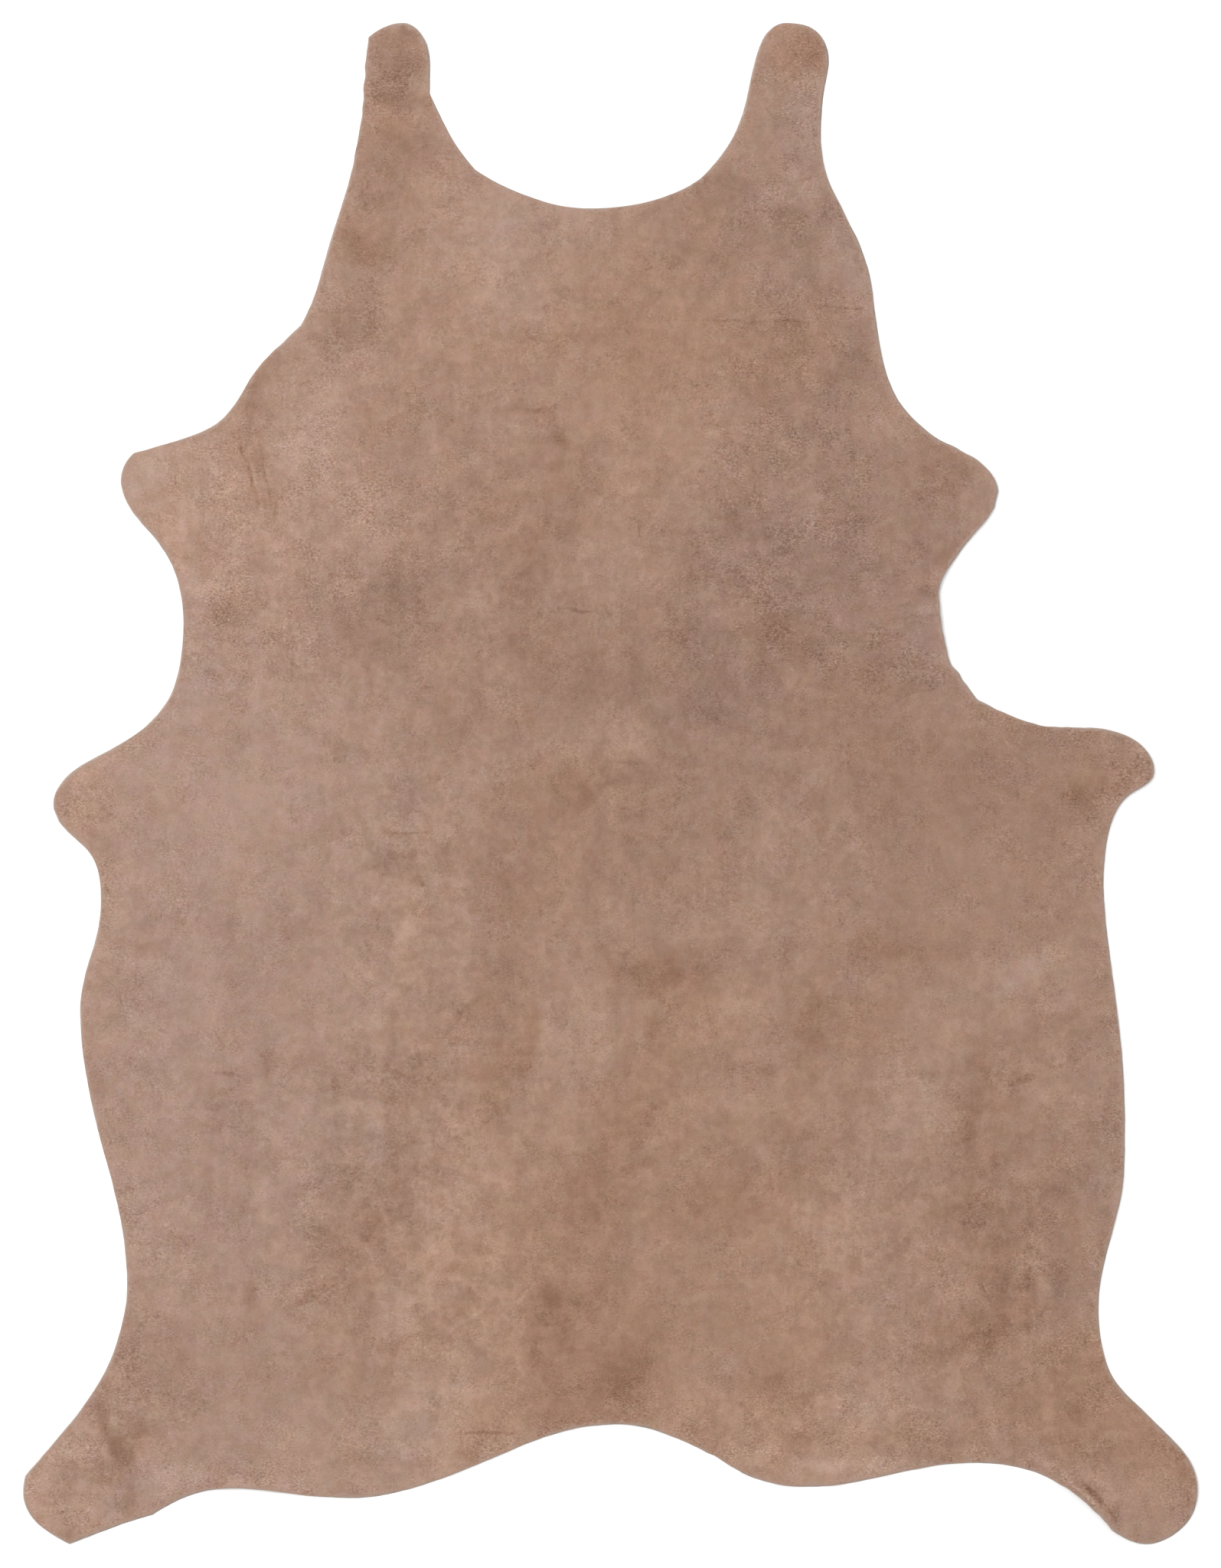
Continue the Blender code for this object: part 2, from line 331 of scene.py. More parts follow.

# Soft patches of the dye and nap, and painted shade along the right shoulder fold. Along and
# across are half sizes. Tone is lighter above 0 and warmth is browner above 0 and pinker or greyer
# below, both in display levels out of 255.
patches = table("place x y along across heading tone warmth", [
    # broad areas
    ("left body", -500, -200, 440, 210, 90, 7, -3),
    ("left body, lower", -520, -560, 170, 150, 90, 2, -2),
    ("left flank, pale", -470, 5, 230, 85, 4, 5, -1),
    ("right flank and thigh", 520, -560, 400, 170, 92, 0, 3),
    ("right body", 480, -150, 480, 200, 90, -2),
    ("lower back", 60, -600, 330, 300, 90, -1, 5),
    ("upper back", 70, 550, 190, 150, 90, 1, 4),
    ("right shoulder", 250, 250, 240, 150, 60, -7, -3),
    ("left shoulder", -420, 420, 170, 120, 90, 7),
    ("left foreleg", -540, 372, 100, 80, 0, 6, 2),
    ("neck", -150, 710, 110, 80, 0, 4, -2),
    ("right neck", 250, 710, 200, 90, 90, -5, -2),
    ("left neck", -295, 860, 150, 60, 90, -6, 1),
    ("left elbow", -370, 235, 130, 46, 4, -3),
    ("chest", -30, 170, 180, 60, -4, -6, 1),
    ("loin", 395, 15, 180, 92, 0, -7, 1),
    ("right rump", 340, -760, 110, 150, 0, 3, 1),
    ("left rump", -260, -800, 110, 100, 0, 6),
    ("left rump, lower band", -360, -865, 250, 48, -4, 6),
    ("left rump, pale edge", -440, -912, 60, 12, -4, 7),
    ("tail, warm", 0, -800, 210, 74, 0, 0, 4),
    ("left thigh, warm", -330, -660, 140, 76, 90, -1, 3),
    ("left thigh, low shade", -336, -724, 38, 20, 42, -6),
    ("left neck, warm", -205, 640, 150, 90, 90, 2, 3),
    # one or two in a place
    ("right neck edge", 318, 668, 84, 26, 112, 6, -5),
    ("right nape, olive", 270, 585, 60, 30, 70, 2, 4),
    ("left foreleg tip", -606, 396, 46, 32, 60, 11, -5),
    ("left foreleg, cream", -545, 390, 46, 34, 70, 3, -1),
    ("left foreleg, lower", -570, 315, 60, 24, -44, 5, 3),
    ("left bay edge", -545, 235, 60, 24, 88, 4, -2),
    ("right neck base, dark", 305, 525, 92, 34, 69, -8, -1),
    ("right neck base, dark edge", 328, 596, 28, 17, 119, -8),
    ("right foreleg", 430, 410, 76, 38, -40, -6, 2),
    ("right foreleg tip", 485, 372, 34, 30, 60, 2, -3),
    ("right bay, cool edge", 418, 190, 55, 26, 95, 0, -6),
    ("right bay, upright shade", 430, 247, 96, 17, 76, -7),
    ("right of backbone, grey", 112, -42, 80, 54, 90, -9, 1),
    ("flank point, brown", 595, 55, 60, 22, -4, -7),
    ("flank point, warm", 640, 15, 46, 26, 20, 0, 4),
    ("armpit", 628, -12, 64, 32, 20, -9, 3),
    ("right body, tan", 540, -120, 90, 80, 90, 0, 1),
    ("right body, shade", 390, -139, 44, 30, 102, -7),
    ("right edge", 648, -500, 130, 24, 88, -3, -3),
    ("ribs, pale start", -95, -458, 26, 20, 40, 7),
    ("ribs, pale slant", 88, -417, 60, 22, 37, 6),
    ("left flank tip, warm", -690, -12, 50, 28, 60, 2, 4),
    ("right back, shade", 365, -528, 40, 23, 127, -8),
    ("left of backbone, dark", -165, -265, 80, 28, 44, -8, 1),
    ("left of backbone, brown", -120, -160, 60, 30, 30, -5, 2),
    ("left flank, upright shade", -346, 24, 58, 23, 86, -8),
    ("left loin, slanting shade", -255, -393, 82, 22, 50, -7, 1),
    ("left loin, cream", -160, -502, 32, 24, -50, 8, 1),
    ("tail head", 16, -766, 44, 32, 10, -19, 4),
    ("tail head, above", 30, -710, 50, 34, 90, -3, 3),
    ("tail arch, dark", -18, -812, 74, 26, 6, -9, 2),
    ("tail, pale right", 110, -828, 28, 20, 143, 8, 2),
    ("right leg tip", 690, -944, 56, 40, 20, 8, 2),
    ("left leg tip, pale", -745, -920, 50, 22, 78, 10, 1),
    ("left leg tip, warm", -712, -960, 50, 24, 14, 12, 2),
    # left tab
    ("all", -285, 955, 40, 34, 0, -6),
    ("base", -285, 915, 34, 24, 0, -5),
    ("warm spot", -288, 868, 34, 26, 90, -1, 4),
    # right tab
    ("warm end", 242, 962, 32, 38, 0, 0, 9),
    ("dark spot", 266, 950, 32, 24, 60, -11, 2),
    ("pale waist", 250, 880, 80, 32, 90, 6, -4),
    # right neck
    ("dark bar", 150, 778, 42, 18, -8, -10, -1),
    ("pale bar", 240, 782, 46, 18, 4, 9, -1),
    ("mauve", 250, 730, 60, 34, 0, -9, -1),
    ("mauve below", 268, 655, 60, 34, 90, -4),
    ("pale", 286, 691, 48, 22, 60, 5),
    # neck
    ("shade right", 128, 714, 80, 42, 112, -6),
    ("pale pink", -130, 735, 70, 38, 0, 4, -2),
    ("pale below", -130, 655, 52, 40, 0, 6, -1),
    ("left light", -235, 752, 60, 20, 90, 3, 1),
    ("left shade", -258, 768, 70, 18, 36, -5),
    # left neck
    ("dark mark", -328, 700, 50, 24, -10, -14, 3),
    ("pale edge", -402, 614, 54, 18, 64, 8, -3),
    ("dark side", -383, 596, 26, 18, 58, -7),
    ("grey", -342, 600, 48, 26, 80, -9, -1),
    # nape
    ("warm", 8, 606, 100, 80, 96, -5, 2),
    ("warm right", 110, 580, 90, 50, 0, -3, 2),
    ("tan", -90, 575, 60, 30, 20, -1, 3),
    ("warm spot", 213, 572, 56, 32, 0, 0, 3),
    # left shoulder
    ("tan streak", -466, 455, 88, 24, 84, -10, 2),
    ("streak foot", -438, 388, 36, 26, 110, -8, 1),
    ("cool", -412, 490, 90, 20, 92, -3, -1),
    ("top", -448, 536, 52, 26, 50, -5, 2),
    ("cool top", -461, 517, 32, 16, 54, 0, -4),
    ("pale", -392, 445, 60, 32, 78, 8, -1),
    ("tan", -312, 466, 66, 34, 78, -7, 2),
    # left elbow
    ("brown", -480, 240, 60, 24, 10, -1, 2),
    ("pale edge", -513, 258, 54, 26, 30, 7, 1),
    ("dark", -280, 247, 84, 30, 16, -9, -2),
    ("pale", -405, 216, 60, 28, 33, 6),
    # left ribs
    ("pale top", -425, 128, 50, 18, 0, 3),
    ("flat shade", -466, 42, 90, 32, 0, -6),
    ("shade", -312, 196, 96, 42, -4, -7),
    ("upper shade", -214, 333, 42, 16, 163, -8),
    ("olive shade", -218, 66, 74, 44, 8, -7, 1),
    # left bay
    ("cool", -538, 128, 64, 30, 75, 0, -4),
    ("shade", -508, 174, 58, 26, -50, -6),
    ("pale foot", -559, 111, 38, 18, 68, 8, -1),
    # withers
    ("pale", -88, 436, 64, 30, 136, -5, 1),
    ("tan below", -105, 372, 100, 46, 10, -7, 3),
    ("brown", -100, 296, 56, 30, 48, -13, 2),
    # back
    ("tan", 40, 470, 120, 60, 90, 1, 2),
    ("dark bar", 352, -212, 60, 22, -4, -9, 4),
    ("dark bar right", 440, -215, 50, 20, 0, -5, 2),
    ("dark", 64, -246, 52, 24, -8, -12, 3),
    ("dark band", 100, -268, 120, 30, -12, -5, 2),
    ("dark right", 118, -232, 40, 20, 10, -8, 2),
    ("dark far right", 205, -235, 40, 20, 60, -6, 1),
    ("pale spot", 168, -292, 34, 17, -6, 9, 1),
    ("warm", 100, -300, 60, 40, 20, 0, 4),
    ("pale strip", -46, -325, 105, 36, 86, 9, -2),
    ("warm streak", -140, -365, 96, 38, 70, -7, 4),
    ("brown below", 42, -415, 84, 46, 50, -7, 3),
    ("olive dark", 262, -320, 70, 34, 80, -8, 3),
    ("olive", 345, -305, 50, 36, 60, -3, 4),
    # right shoulder
    ("pale", 372, 462, 50, 24, -50, 8),
    # fold is painted shade along the right shoulder fold
    ("fold", 200, 510, 50, 20, -60, -9, 1),
    ("warm grey", 250, 555, 60, 36, 60, -3, 1),
    ("inner dark", 112, 285, 68, 34, 84, -9, -2),
    ("blue", 180, 330, 60, 36, -30, -4, -2),
    ("blue below", 262, 285, 60, 40, 10, -4, -2),
    # right elbow
    ("dark brown", 222, 192, 56, 26, -24, -9, 4),
    ("blue", 150, 130, 62, 50, 20, -4, -2),
    ("blue left", 110, 210, 40, 36, 90, -1, -2),
    # chest
    ("dark", -30, 130, 70, 22, -10, -7),
    ("dark lower left", -84, 88, 54, 28, 42, -9),
    ("dark lower right", 42, 116, 62, 26, -42, -8, -1),
    ("dark left", -130, 185, 50, 22, -14, -8),
    ("pale", 82, 256, 66, 38, 70, 2, 3),
    ("olive", 35, 65, 46, 26, 60, 8, 1),
    # backbone
    ("warm dark", -50, 12, 70, 30, 8, -10, 4),
    ("dark right", 24, -48, 54, 42, 72, -10, 2),
    ("warm", -60, -80, 100, 50, 90, -2, 4),
    ("shade left", -150, -55, 70, 40, 34, -6, 2),
    # loin
    ("dark", 110, 90, 60, 30, 10, -6, -2),
    ("shade below", 58, -121, 68, 24, -10, -7, 1),
    ("warm", 293, 100, 125, 68, -38, 0, 3),
    ("right", 330, 120, 80, 40, 10, -4),
    ("dark spot", 270, -20, 40, 26, 90, -4, 1),
    # right flank
    ("pale", 545, -248, 100, 34, 14, 9, -2),
    ("pale corner", 606, -283, 28, 17, 20, 9),
    ("dark line", 480, -448, 84, 22, 86, -7),
    ("pale strip", 370, -430, 90, 46, 80, 8, -1),
    ("cool strip", 400, -430, 75, 36, 99, 0, -2),
    ("pale rise", 468, -322, 88, 30, 154, 5),
    # left rib
    ("pale green", -262, -150, 60, 38, 80, 1, 2),
    ("pale", -250, -235, 50, 26, 90, 5, 1),
    ("brown", -149, -128, 44, 30, -30, -7, 1),
    ("pale stripe", -208, -172, 44, 24, -88, 9),
    ("grey spot", -262, -16, 40, 24, 80, -4, -3),
    ("small dark", -300, -112, 30, 18, 0, -10, -1),
    ("blue", -322, -450, 56, 28, 160, 3, -4),
    # left body
    ("shade", -448, -200, 150, 90, 46, -5, -1),
    ("pale spot", -348, -268, 32, 24, 82, 8),
    ("dark spot", -450, -362, 30, 20, 20, -8),
    ("low shade", -371, -382, 38, 28, 93, -6),
    ("mauve", -610, -335, 120, 56, 84, 1, -2),
    ("cool", -545, -240, 60, 40, 30, 2, -2),
    ("streak", -576, -40, 80, 22, 20, -2, -1),
    ("cool upper", -568, -118, 50, 30, 44, 0, -3),
    # left thigh
    ("grey", -345, -535, 78, 52, 80, -4, -1),
    ("shade", -505, -462, 92, 46, 112, -6),
    ("dark above", -290, -592, 50, 24, -15, -4),
    ("pale slant", -268, -600, 50, 17, 59, 5),
    ("pale", -196, -545, 80, 28, -84, 8),
    ("mauve", -590, -738, 66, 42, 60, -4),
    ("pale", -578, -668, 68, 28, 114, 6),
    # rump
    ("warm dark", -34, -536, 60, 38, 66, -14, 3),
    ("shade left of spine", -104, -544, 34, 20, 94, -7),
    ("warm right", 140, -552, 80, 34, 10, -8, 3),
    ("spine", -60, -690, 90, 44, 84, -8, 4),
    ("spine left", -88, -716, 56, 28, 76, -8, 2),
    ("spine top", -10, -655, 60, 24, 80, -4, 2),
    ("pale crescent", -150, -690, 70, 22, 0, 1, 3),
    ("left cream", -130, -590, 60, 44, 70, 3, 4),
    ("left shade", -228, -618, 44, 27, 0, -5),
    ("left warm", -200, -620, 60, 26, 10, 4, 3),
    ("pale above spine", -89, -636, 58, 18, -8, 7),
    # left rump
    ("pale column", -262, -660, 60, 32, 84, 6),
    ("cool column", -280, -705, 44, 22, 88, 0, -4),
    ("pale middle", -228, -690, 54, 22, 85, 13, 1),
    ("pale top", -240, -768, 46, 34, 60, 3, 2),
    ("edge", -180, -858, 70, 22, 30, 1, 4),
    ("pale spot", -408, -826, 32, 28, 0, 8),
    ("cool", -255, -845, 75, 55, 54, 0, -4),
    ("pale slope", -165, -800, 74, 28, 48, 8, 1),
    ("shade", -245, -735, 130, 30, 49, -6),
    ("cool slope", -505, -840, 130, 50, 36, 0, -2),
    # right rump
    ("warm", 225, -790, 90, 50, 84, -2, 5),
    ("edge", 238, -888, 120, 24, -2, 9, 1),
    ("cool edge", 322, -894, 46, 15, 5, 5, -2),
    ("pale slope", 192, -830, 66, 30, -35, 8, 1),
    ("pale lower", 316, -812, 48, 32, 20, 9),
    ("warm edge", 345, -855, 110, 24, 0, 0, 3),
    ("cool", 139, -765, 56, 32, 35, 0, -3),
    ("warm upper", 215, -600, 100, 54, 86, 3, 2),
    ("cool column", 351, -650, 140, 48, 90, 0, -3),
    ("pale", 328, -580, 62, 46, 40, 8, 1),
    ("pale spot", 336, -675, 24, 18, 0, 8, -1),
    ("pale below", 370, -760, 70, 40, 84, 4),
    # right thigh
    ("dark", 485, -715, 58, 36, 10, -11, 4),
    ("dark column", 500, -620, 66, 34, 104, -10, 1),
    ("dark left", 420, -740, 50, 24, 10, -5),
    ("top", 460, -545, 70, 40, 80, -5),
    ("brown", 545, -540, 50, 26, 20, -6),
    ("dark behind", 594, -668, 26, 18, 90, -8, -3),
    ("cool edge", 620, -684, 40, 18, 81, 0, -5),
    ("tan", 545, -830, 60, 30, 0, -3, 3),
    # right leg
    ("warm", 612, -790, 90, 56, 80, -3, 8),
    ("tan", 712, -870, 66, 46, -40, 0, 10),
    ("dark corner", 742, -876, 22, 16, 40, -10),
    ("pale ankle", 632, -904, 28, 15, -12, 9),
    # left leg
    ("dark below", -632, -880, 30, 20, 30, -5, 3),
    ("pale corner", -556, -915, 30, 16, 14, 8, -1),
    ("pale side", -727, -886, 54, 19, 42, 13, 1),
    ("cool", -665, -956, 28, 18, 16, 0, -5),
    ("inner", -600, -912, 90, 24, 16, 8, -2),
])

# Folds, pressed lines and places where the nap was turned over, with painted shade in some folds
# and troughs and a painted highlight on the curled lip. They have crisper borders.
marks = table("place x y along across heading tone warmth", [
    # one or two in a place
    ("nape, brown spot", -73, 571, 16, 8, -30, -7, 1),
    ("right tab, brown", 268, 952, 18, 11, 50, -6, 2),
    ("right neck, pale spot", 186, 822, 14, 9, 20, 7, -1),
    ("right neck, dark left", 170, 782, 30, 9, 4, -6, -1),
    ("right nape, dark", 283, 566, 16, 8, 58, -8),
    ("right nape, brown", 192, 512, 18, 9, 10, -7),
    ("left shoulder, brown", -464, 524, 18, 15, 60, -5, 1),
    ("left shoulder, pale", -412, 443, 15, 10, 30, 6, -2),
    ("left foreleg, brown", -580, 378, 24, 10, 10, -5, 2),
    ("left back, brown", -190, 545, 24, 7, -4, -7, 2),
    ("left back, tan", -303, 500, 26, 9, 50, -5, 2),
    ("loin, pale streaks", 276, 20, 46, 17, 62, 7, -2),
    ("loin, dark fleck", 272, -25, 24, 7, -60, -7, 1),
    ("left flank, brown", -600, -218, 44, 8, -16, -6, 1),
    ("left flank, notch", -666, -395, 11, 9, 0, -8, 2),
    ("backbone, red dash", -233, -268, 18, 5, 88, -8, 1),
    # left tab
    ("dark end", -262, 934, 24, 10, 25, -10, 1),
    ("dark waist", -284, 903, 30, 9, 8, -10, 1),
    ("pale side", -247, 909, 13, 8, 10, 10),
    ("dark edge", -238, 888, 16, 6, -55, -11, 2),
    # left neck
    ("dark spots", -246, 838, 22, 9, 30, -6),
    ("dark upper", -310, 782, 26, 8, 25, -5, 1),
    ("dark core", -332, 706, 24, 9, -14, -6, 1),
    ("shade", -335, 620, 20, 9, 68, -8),
    ("lower shade", -344, 586, 18, 13, 0, -7, -1),
    # left elbow
    ("brown", -508, 220, 22, 11, 10, -7, 3),
    ("dark bend", -317, 245, 22, 5, 74, -9, 1),
    ("grey bar", -286, 258, 18, 8, 82, -7, -2),
    # withers
    # brown top, brown middle and brown end darken along the withers fold's right end: painted
    # shade in the fold, a little browner
    ("brown top", -72, 464, 24, 10, -56, -11, 1),
    ("brown middle", -56, 443, 24, 9, -24, -12, 3),
    ("brown end", -36, 417, 14, 7, -78, -12, 3),
    ("pale", -128, 461, 38, 10, 3, 4),
    ("shade", -70, 415, 20, 8, 0, -9),
    # back
    ("small dark", 38, 432, 14, 7, 22, -9, -1),
    ("pale fleck", 28, 386, 15, 9, 0, 9),
    ("pale fleck right", 75, 368, 19, 12, 6, 8, -1),
    ("grey spots low", 168, 365, 18, 8, 58, -9),
    ("dark bar", 105, 328, 26, 8, -4, -8),
    ("short line", -125, 257, 26, 5, -3, -8, 2),
    ("pale block", 55, 262, 28, 14, 12, 7),
    ("pale block left", 10, 283, 23, 12, 84, 6, -1),
    ("pale block top", -22, 318, 18, 14, 0, 6),
    ("brown knot", -50, 6, 18, 11, -30, -8, 1),
    ("brown knot low", -33, -20, 16, 10, -72, -11, 3),
    ("dark slant", 22, -45, 30, 8, -76, -6),
    ("low knot", 46, -240, 26, 9, 20, -6, 2),
    ("slanting line", -10, -214, 38, 6, 22, -8),
    ("pale left column", -85, -315, 44, 8, 86, 5, -1),
    ("pale right column", -12, -330, 48, 7, 92, 5),
    ("pale far column", 40, -320, 34, 6, 90, 7, -1),
    ("dark far column", 56, -320, 34, 7, 88, -6, 3),
    ("brown column", -102, -322, 44, 7, 88, -5, 3),
    ("brown block", -125, -375, 26, 10, -5, -7, 1),
    ("cross line", 110, -368, 34, 6, -4, -6, 2),
    ("cross line right", 205, -372, 60, 6, 2, -5),
    ("dark blot", 150, -440, 14, 10, 80, -8),
    ("dark blot low", 126, -477, 18, 7, 38, -7, 1),
    # right shoulder
    ("line", 330, 345, 26, 5, 10, -6, 2),
    ("spot", 341, 285, 16, 9, 0, -8, 1),
    ("dark", 282, 448, 12, 8, 30, -8),
    ("dark top", 285, 530, 18, 9, 20, -6),
    # right bay
    ("dark", 416, 253, 16, 9, 4, -13),
    ("pale", 404, 228, 36, 7, 3, 10, -3),
    ("pale low", 424, 165, 20, 10, 0, 7, -1),
    # flank point
    ("pale", 691, 41, 16, 6, -60, 9),
    ("dark", 692, 21, 15, 8, 60, -8, 1),
    # fold is painted shade along the fold by the right armpit
    ("fold", 613, -16, 34, 8, -62, -8, 2),
    # chest
    ("dark slant", -35, 130, 20, 8, 55, -7, -1),
    ("brown dash", -105, 78, 20, 7, -8, -7, 2),
    ("pale foot", 25, 44, 42, 7, -4, 6, 1),
    ("dark corner", 65, 78, 14, 9, 20, -8),
    # left rib
    ("grey column", -130, -140, 38, 6, 88, -6, -3),
    ("brown line", -144, -126, 26, 5, -26, -8, 1),
    ("pale spot", -155, -22, 17, 11, 10, 6, 1),
    ("cross line", -297, -410, 34, 7, -12, -8),
    # left ribs
    ("grey dash", -260, -1, 22, 7, 86, -7, -1),
    ("pale bar", -278, -80, 28, 8, 2, 8, -1),
    ("dark block", -284, -108, 25, 12, 4, -9),
    ("brown block", -400, -194, 28, 7, -6, -7, 1),
    ("pale column", -270, -198, 36, 8, 84, 7, 1),
    # left body
    ("pale block", -470, -178, 30, 15, 90, 6),
    ("dark side", -496, -192, 28, 8, 88, -8, 1),
    ("pale arc", -322, -243, 46, 7, -48, 7, 1),
    ("dark square", -448, -367, 15, 11, 34, -10, 1),
    ("brown line low", -507, -421, 28, 6, 3, -6),
    ("dark column", -376, -355, 24, 6, 90, -7),
    ("grey patch", -360, -396, 22, 9, 8, -6),
    ("pale column", -455, -545, 30, 9, 88, 7),
    ("shade column", -480, -548, 40, 9, 90, -6),
    # left rib line
    ("all", -284, -505, 70, 9, 92, -7, 2),
    ("top", -280, -311, 23, 8, 86, -10),
    ("middle", -289, -358, 32, 6, 74, -8, -1),
    # left loin
    ("grey block", -305, -478, 24, 12, 70, 7, -3),
    ("dark cluster", -340, -506, 24, 9, -28, -7, -1),
    ("dark cluster left", -388, -520, 30, 9, 34, -6, -1),
    # left thigh
    ("brown spot", -432, -583, 14, 11, 30, -8, 1),
    # fold end is painted shade at the end of the left thigh fold
    ("fold end", -322, -651, 34, 8, -4, -8, 1),
    ("upper bar", -362, -617, 44, 7, 4, -5, 1),
    ("column", -315, -682, 25, 9, 86, -7, 1),
    ("corner", -315, -587, 26, 8, 58, -10, 2),
    ("dark spot", -472, -674, 26, 9, 84, -14, 1),
    ("small spot", -546, -798, 14, 6, 40, -9),
    ("red spot", -632, -742, 20, 8, 8, -8, 1),
    # ribs
    ("upper", 20, -441, 42, 7, 10, -6, 2),
    ("middle", 12, -459, 34, 6, 12, -6, 2),
    ("lower", 36, -497, 35, 8, 22, -9, 2),
    ("right", 76, -473, 18, 5, 10, -8, 2),
    # rump
    ("dark knot", -24, -555, 20, 8, -60, -9, 1),
    ("pale block", -60, -455, 24, 10, 32, 7, -1),
    ("pale slant", -140, -524, 32, 7, -24, 8),
    ("column", 157, -557, 20, 7, 72, -7, 2),
    ("brown blot", 112, -562, 20, 6, -20, -7, 3),
    ("dark block", -92, -668, 28, 10, -10, -7, 1),
    ("red column", -66, -715, 22, 11, 80, -6, 1),
    ("pink block", -95, -715, 15, 9, 0, 7, 1),
    ("spine line", -12, -640, 32, 8, 80, -6, 1),
    ("dash", 68, -715, 16, 6, 88, -8),
    ("pale streak", 112, -673, 38, 6, 8, 6, -1),
    ("column right", 150, -690, 28, 8, 86, -5, 2),
    # right back
    ("dark bar", 240, -460, 38, 9, 0, -8, 1),
    ("pale spot", 200, -476, 13, 10, 90, 9, -2),
    ("brown", 240, -511, 20, 9, -30, -7, 1),
    ("upright", 270, -300, 34, 9, 84, -7, 2),
    ("upright low", 302, -332, 18, 6, 88, -8, 1),
    # right flank
    # crease start is painted shade where the right flank crease begins
    ("crease start", 478, -364, 18, 12, -50, -8, 1),
    ("upright", 470, -440, 34, 8, 94, -7, 2),
    ("small dark", 511, -460, 14, 9, 30, -7, 1),
    ("grey line", 435, -378, 44, 5, 4, -7, -1),
    ("slant", 580, -470, 20, 8, -70, -8, 2),
    ("low line", 603, -515, 24, 6, -18, -7),
    ("low bar", 573, -531, 30, 8, -8, -8, 1),
    ("pale", 570, -406, 30, 13, 12, 8, -1),
    ("knot", 560, -270, 20, 8, 52, -8, 1),
    ("pale slant", 540, -246, 60, 11, 38, 5, -2),
    ("edge line", 650, -545, 32, 6, 26, 7),
    # left rump
    ("dark dot", -200, -632, 13, 9, 20, -11, 1),
    ("edge spot", -185, -877, 17, 8, -10, -10, 2),
    ("brown ring", -252, -887, 20, 7, 6, -10, 2),
    ("grey spot", -249, -850, 13, 11, 0, -7, -1),
    ("brown line", -334, -885, 20, 9, 0, -7, 2),
    ("brown spot", -260, -611, 16, 11, 20, -7, 2),
    # right rump
    ("pale spot", 152, -757, 17, 11, 60, 6, -2),
    ("line", 205, -780, 38, 6, 0, -6, 1),
    ("fleck", 258, -811, 17, 7, -60, -8, 1),
    ("blot", 252, -855, 17, 8, 10, -6, 2),
    # left leg
    # trough top and trough are painted shade in the left hind leg's trough
    ("trough top", -664, -818, 28, 8, 102, -13, 2),
    ("trough", -641, -868, 34, 11, -58, -17, 3),
    ("side spot", -608, -845, 18, 7, 38, -12, 2),
    ("small spot", -663, -912, 9, 7, 0, -9, 3),
    ("low spot", -628, -935, 17, 8, 88, -7, 1),
    ("corner", -708, -982, 13, 6, 8, -9, 1),
    ("pale line", -576, -924, 34, 8, 24, 7),
    # right leg
    # lip top is a painted highlight on the curled lip; shade end ends the painted shade in the
    # trough beside it
    ("lip top", 578, -893, 30, 8, -30, 13, -1),
    ("shade end", 659, -957, 14, 7, -70, -9, 1),
    ("dark side", 749, -898, 24, 8, 18, -12, 2),
    ("slant", 620, -806, 34, 9, 42, -8, 2),
    # right thigh
    ("pale column", 562, -642, 38, 7, 88, 9, -2),
    ("pale foot", 571, -706, 36, 7, 85, 9, -1),
    ("dark column", 589, -642, 44, 8, 86, -6, 1),
    ("dash", 515, -655, 18, 5, 88, -8, 1),
    ("pale block", 571, -820, 25, 9, 90, 12, 1),
    ("dark strip", 528, -815, 30, 7, 88, -7, 1),
    ("pale stripe", 500, -824, 32, 10, 88, 6),
    ("cross spot", 480, -632, 26, 7, 0, -7, 1),
    ("left spot", 360, -625, 16, 9, 20, -8, 1),
    ("core", 476, -722, 24, 16, 60, -6, 1),
    # lower edge
    ("brown", 400, -855, 28, 8, 0, -6, 2),
    ("brown left", 336, -855, 22, 8, 0, -6, 2),
    ("pale", 303, -889, 54, 7, 6, 6),
])

# Where the nap stands rougher than on the back. Strength adds to the plain nap's 1.
roughs = table("place x y along across heading strength", [
    ("left foreleg and shoulder", -450, 390, 220, 130, 20, 0.7),
    ("left elbow", -480, 200, 150, 70, 0, 1.4),
    ("left ribs, top", -290, 320, 90, 80, 0, 0.9),
    ("left neck", -340, 620, 90, 60, 90, 0.6),
    ("left tab", -285, 920, 90, 60, 90, 0.9),
    ("right neck", 240, 640, 260, 90, 90, 0.8),
    ("right tab", 250, 920, 90, 60, 90, 1.0),
    ("right shoulder", 260, 350, 200, 140, 60, 0.8),
    ("right elbow", 300, 180, 170, 60, 0, 1.1),
    ("right flank point", 650, 20, 90, 60, 0, 0.6),
    ("left thigh", -370, -600, 110, 80, 90, 0.6),
    ("right thigh", 500, -640, 150, 130, 90, 0.5),
    ("left hind leg", -690, -880, 110, 90, 45, 0.5),
    ("right hind leg", 680, -880, 110, 80, -40, 0.1),
    ("lower edge", 350, -840, 260, 60, 0, 0.5),
])

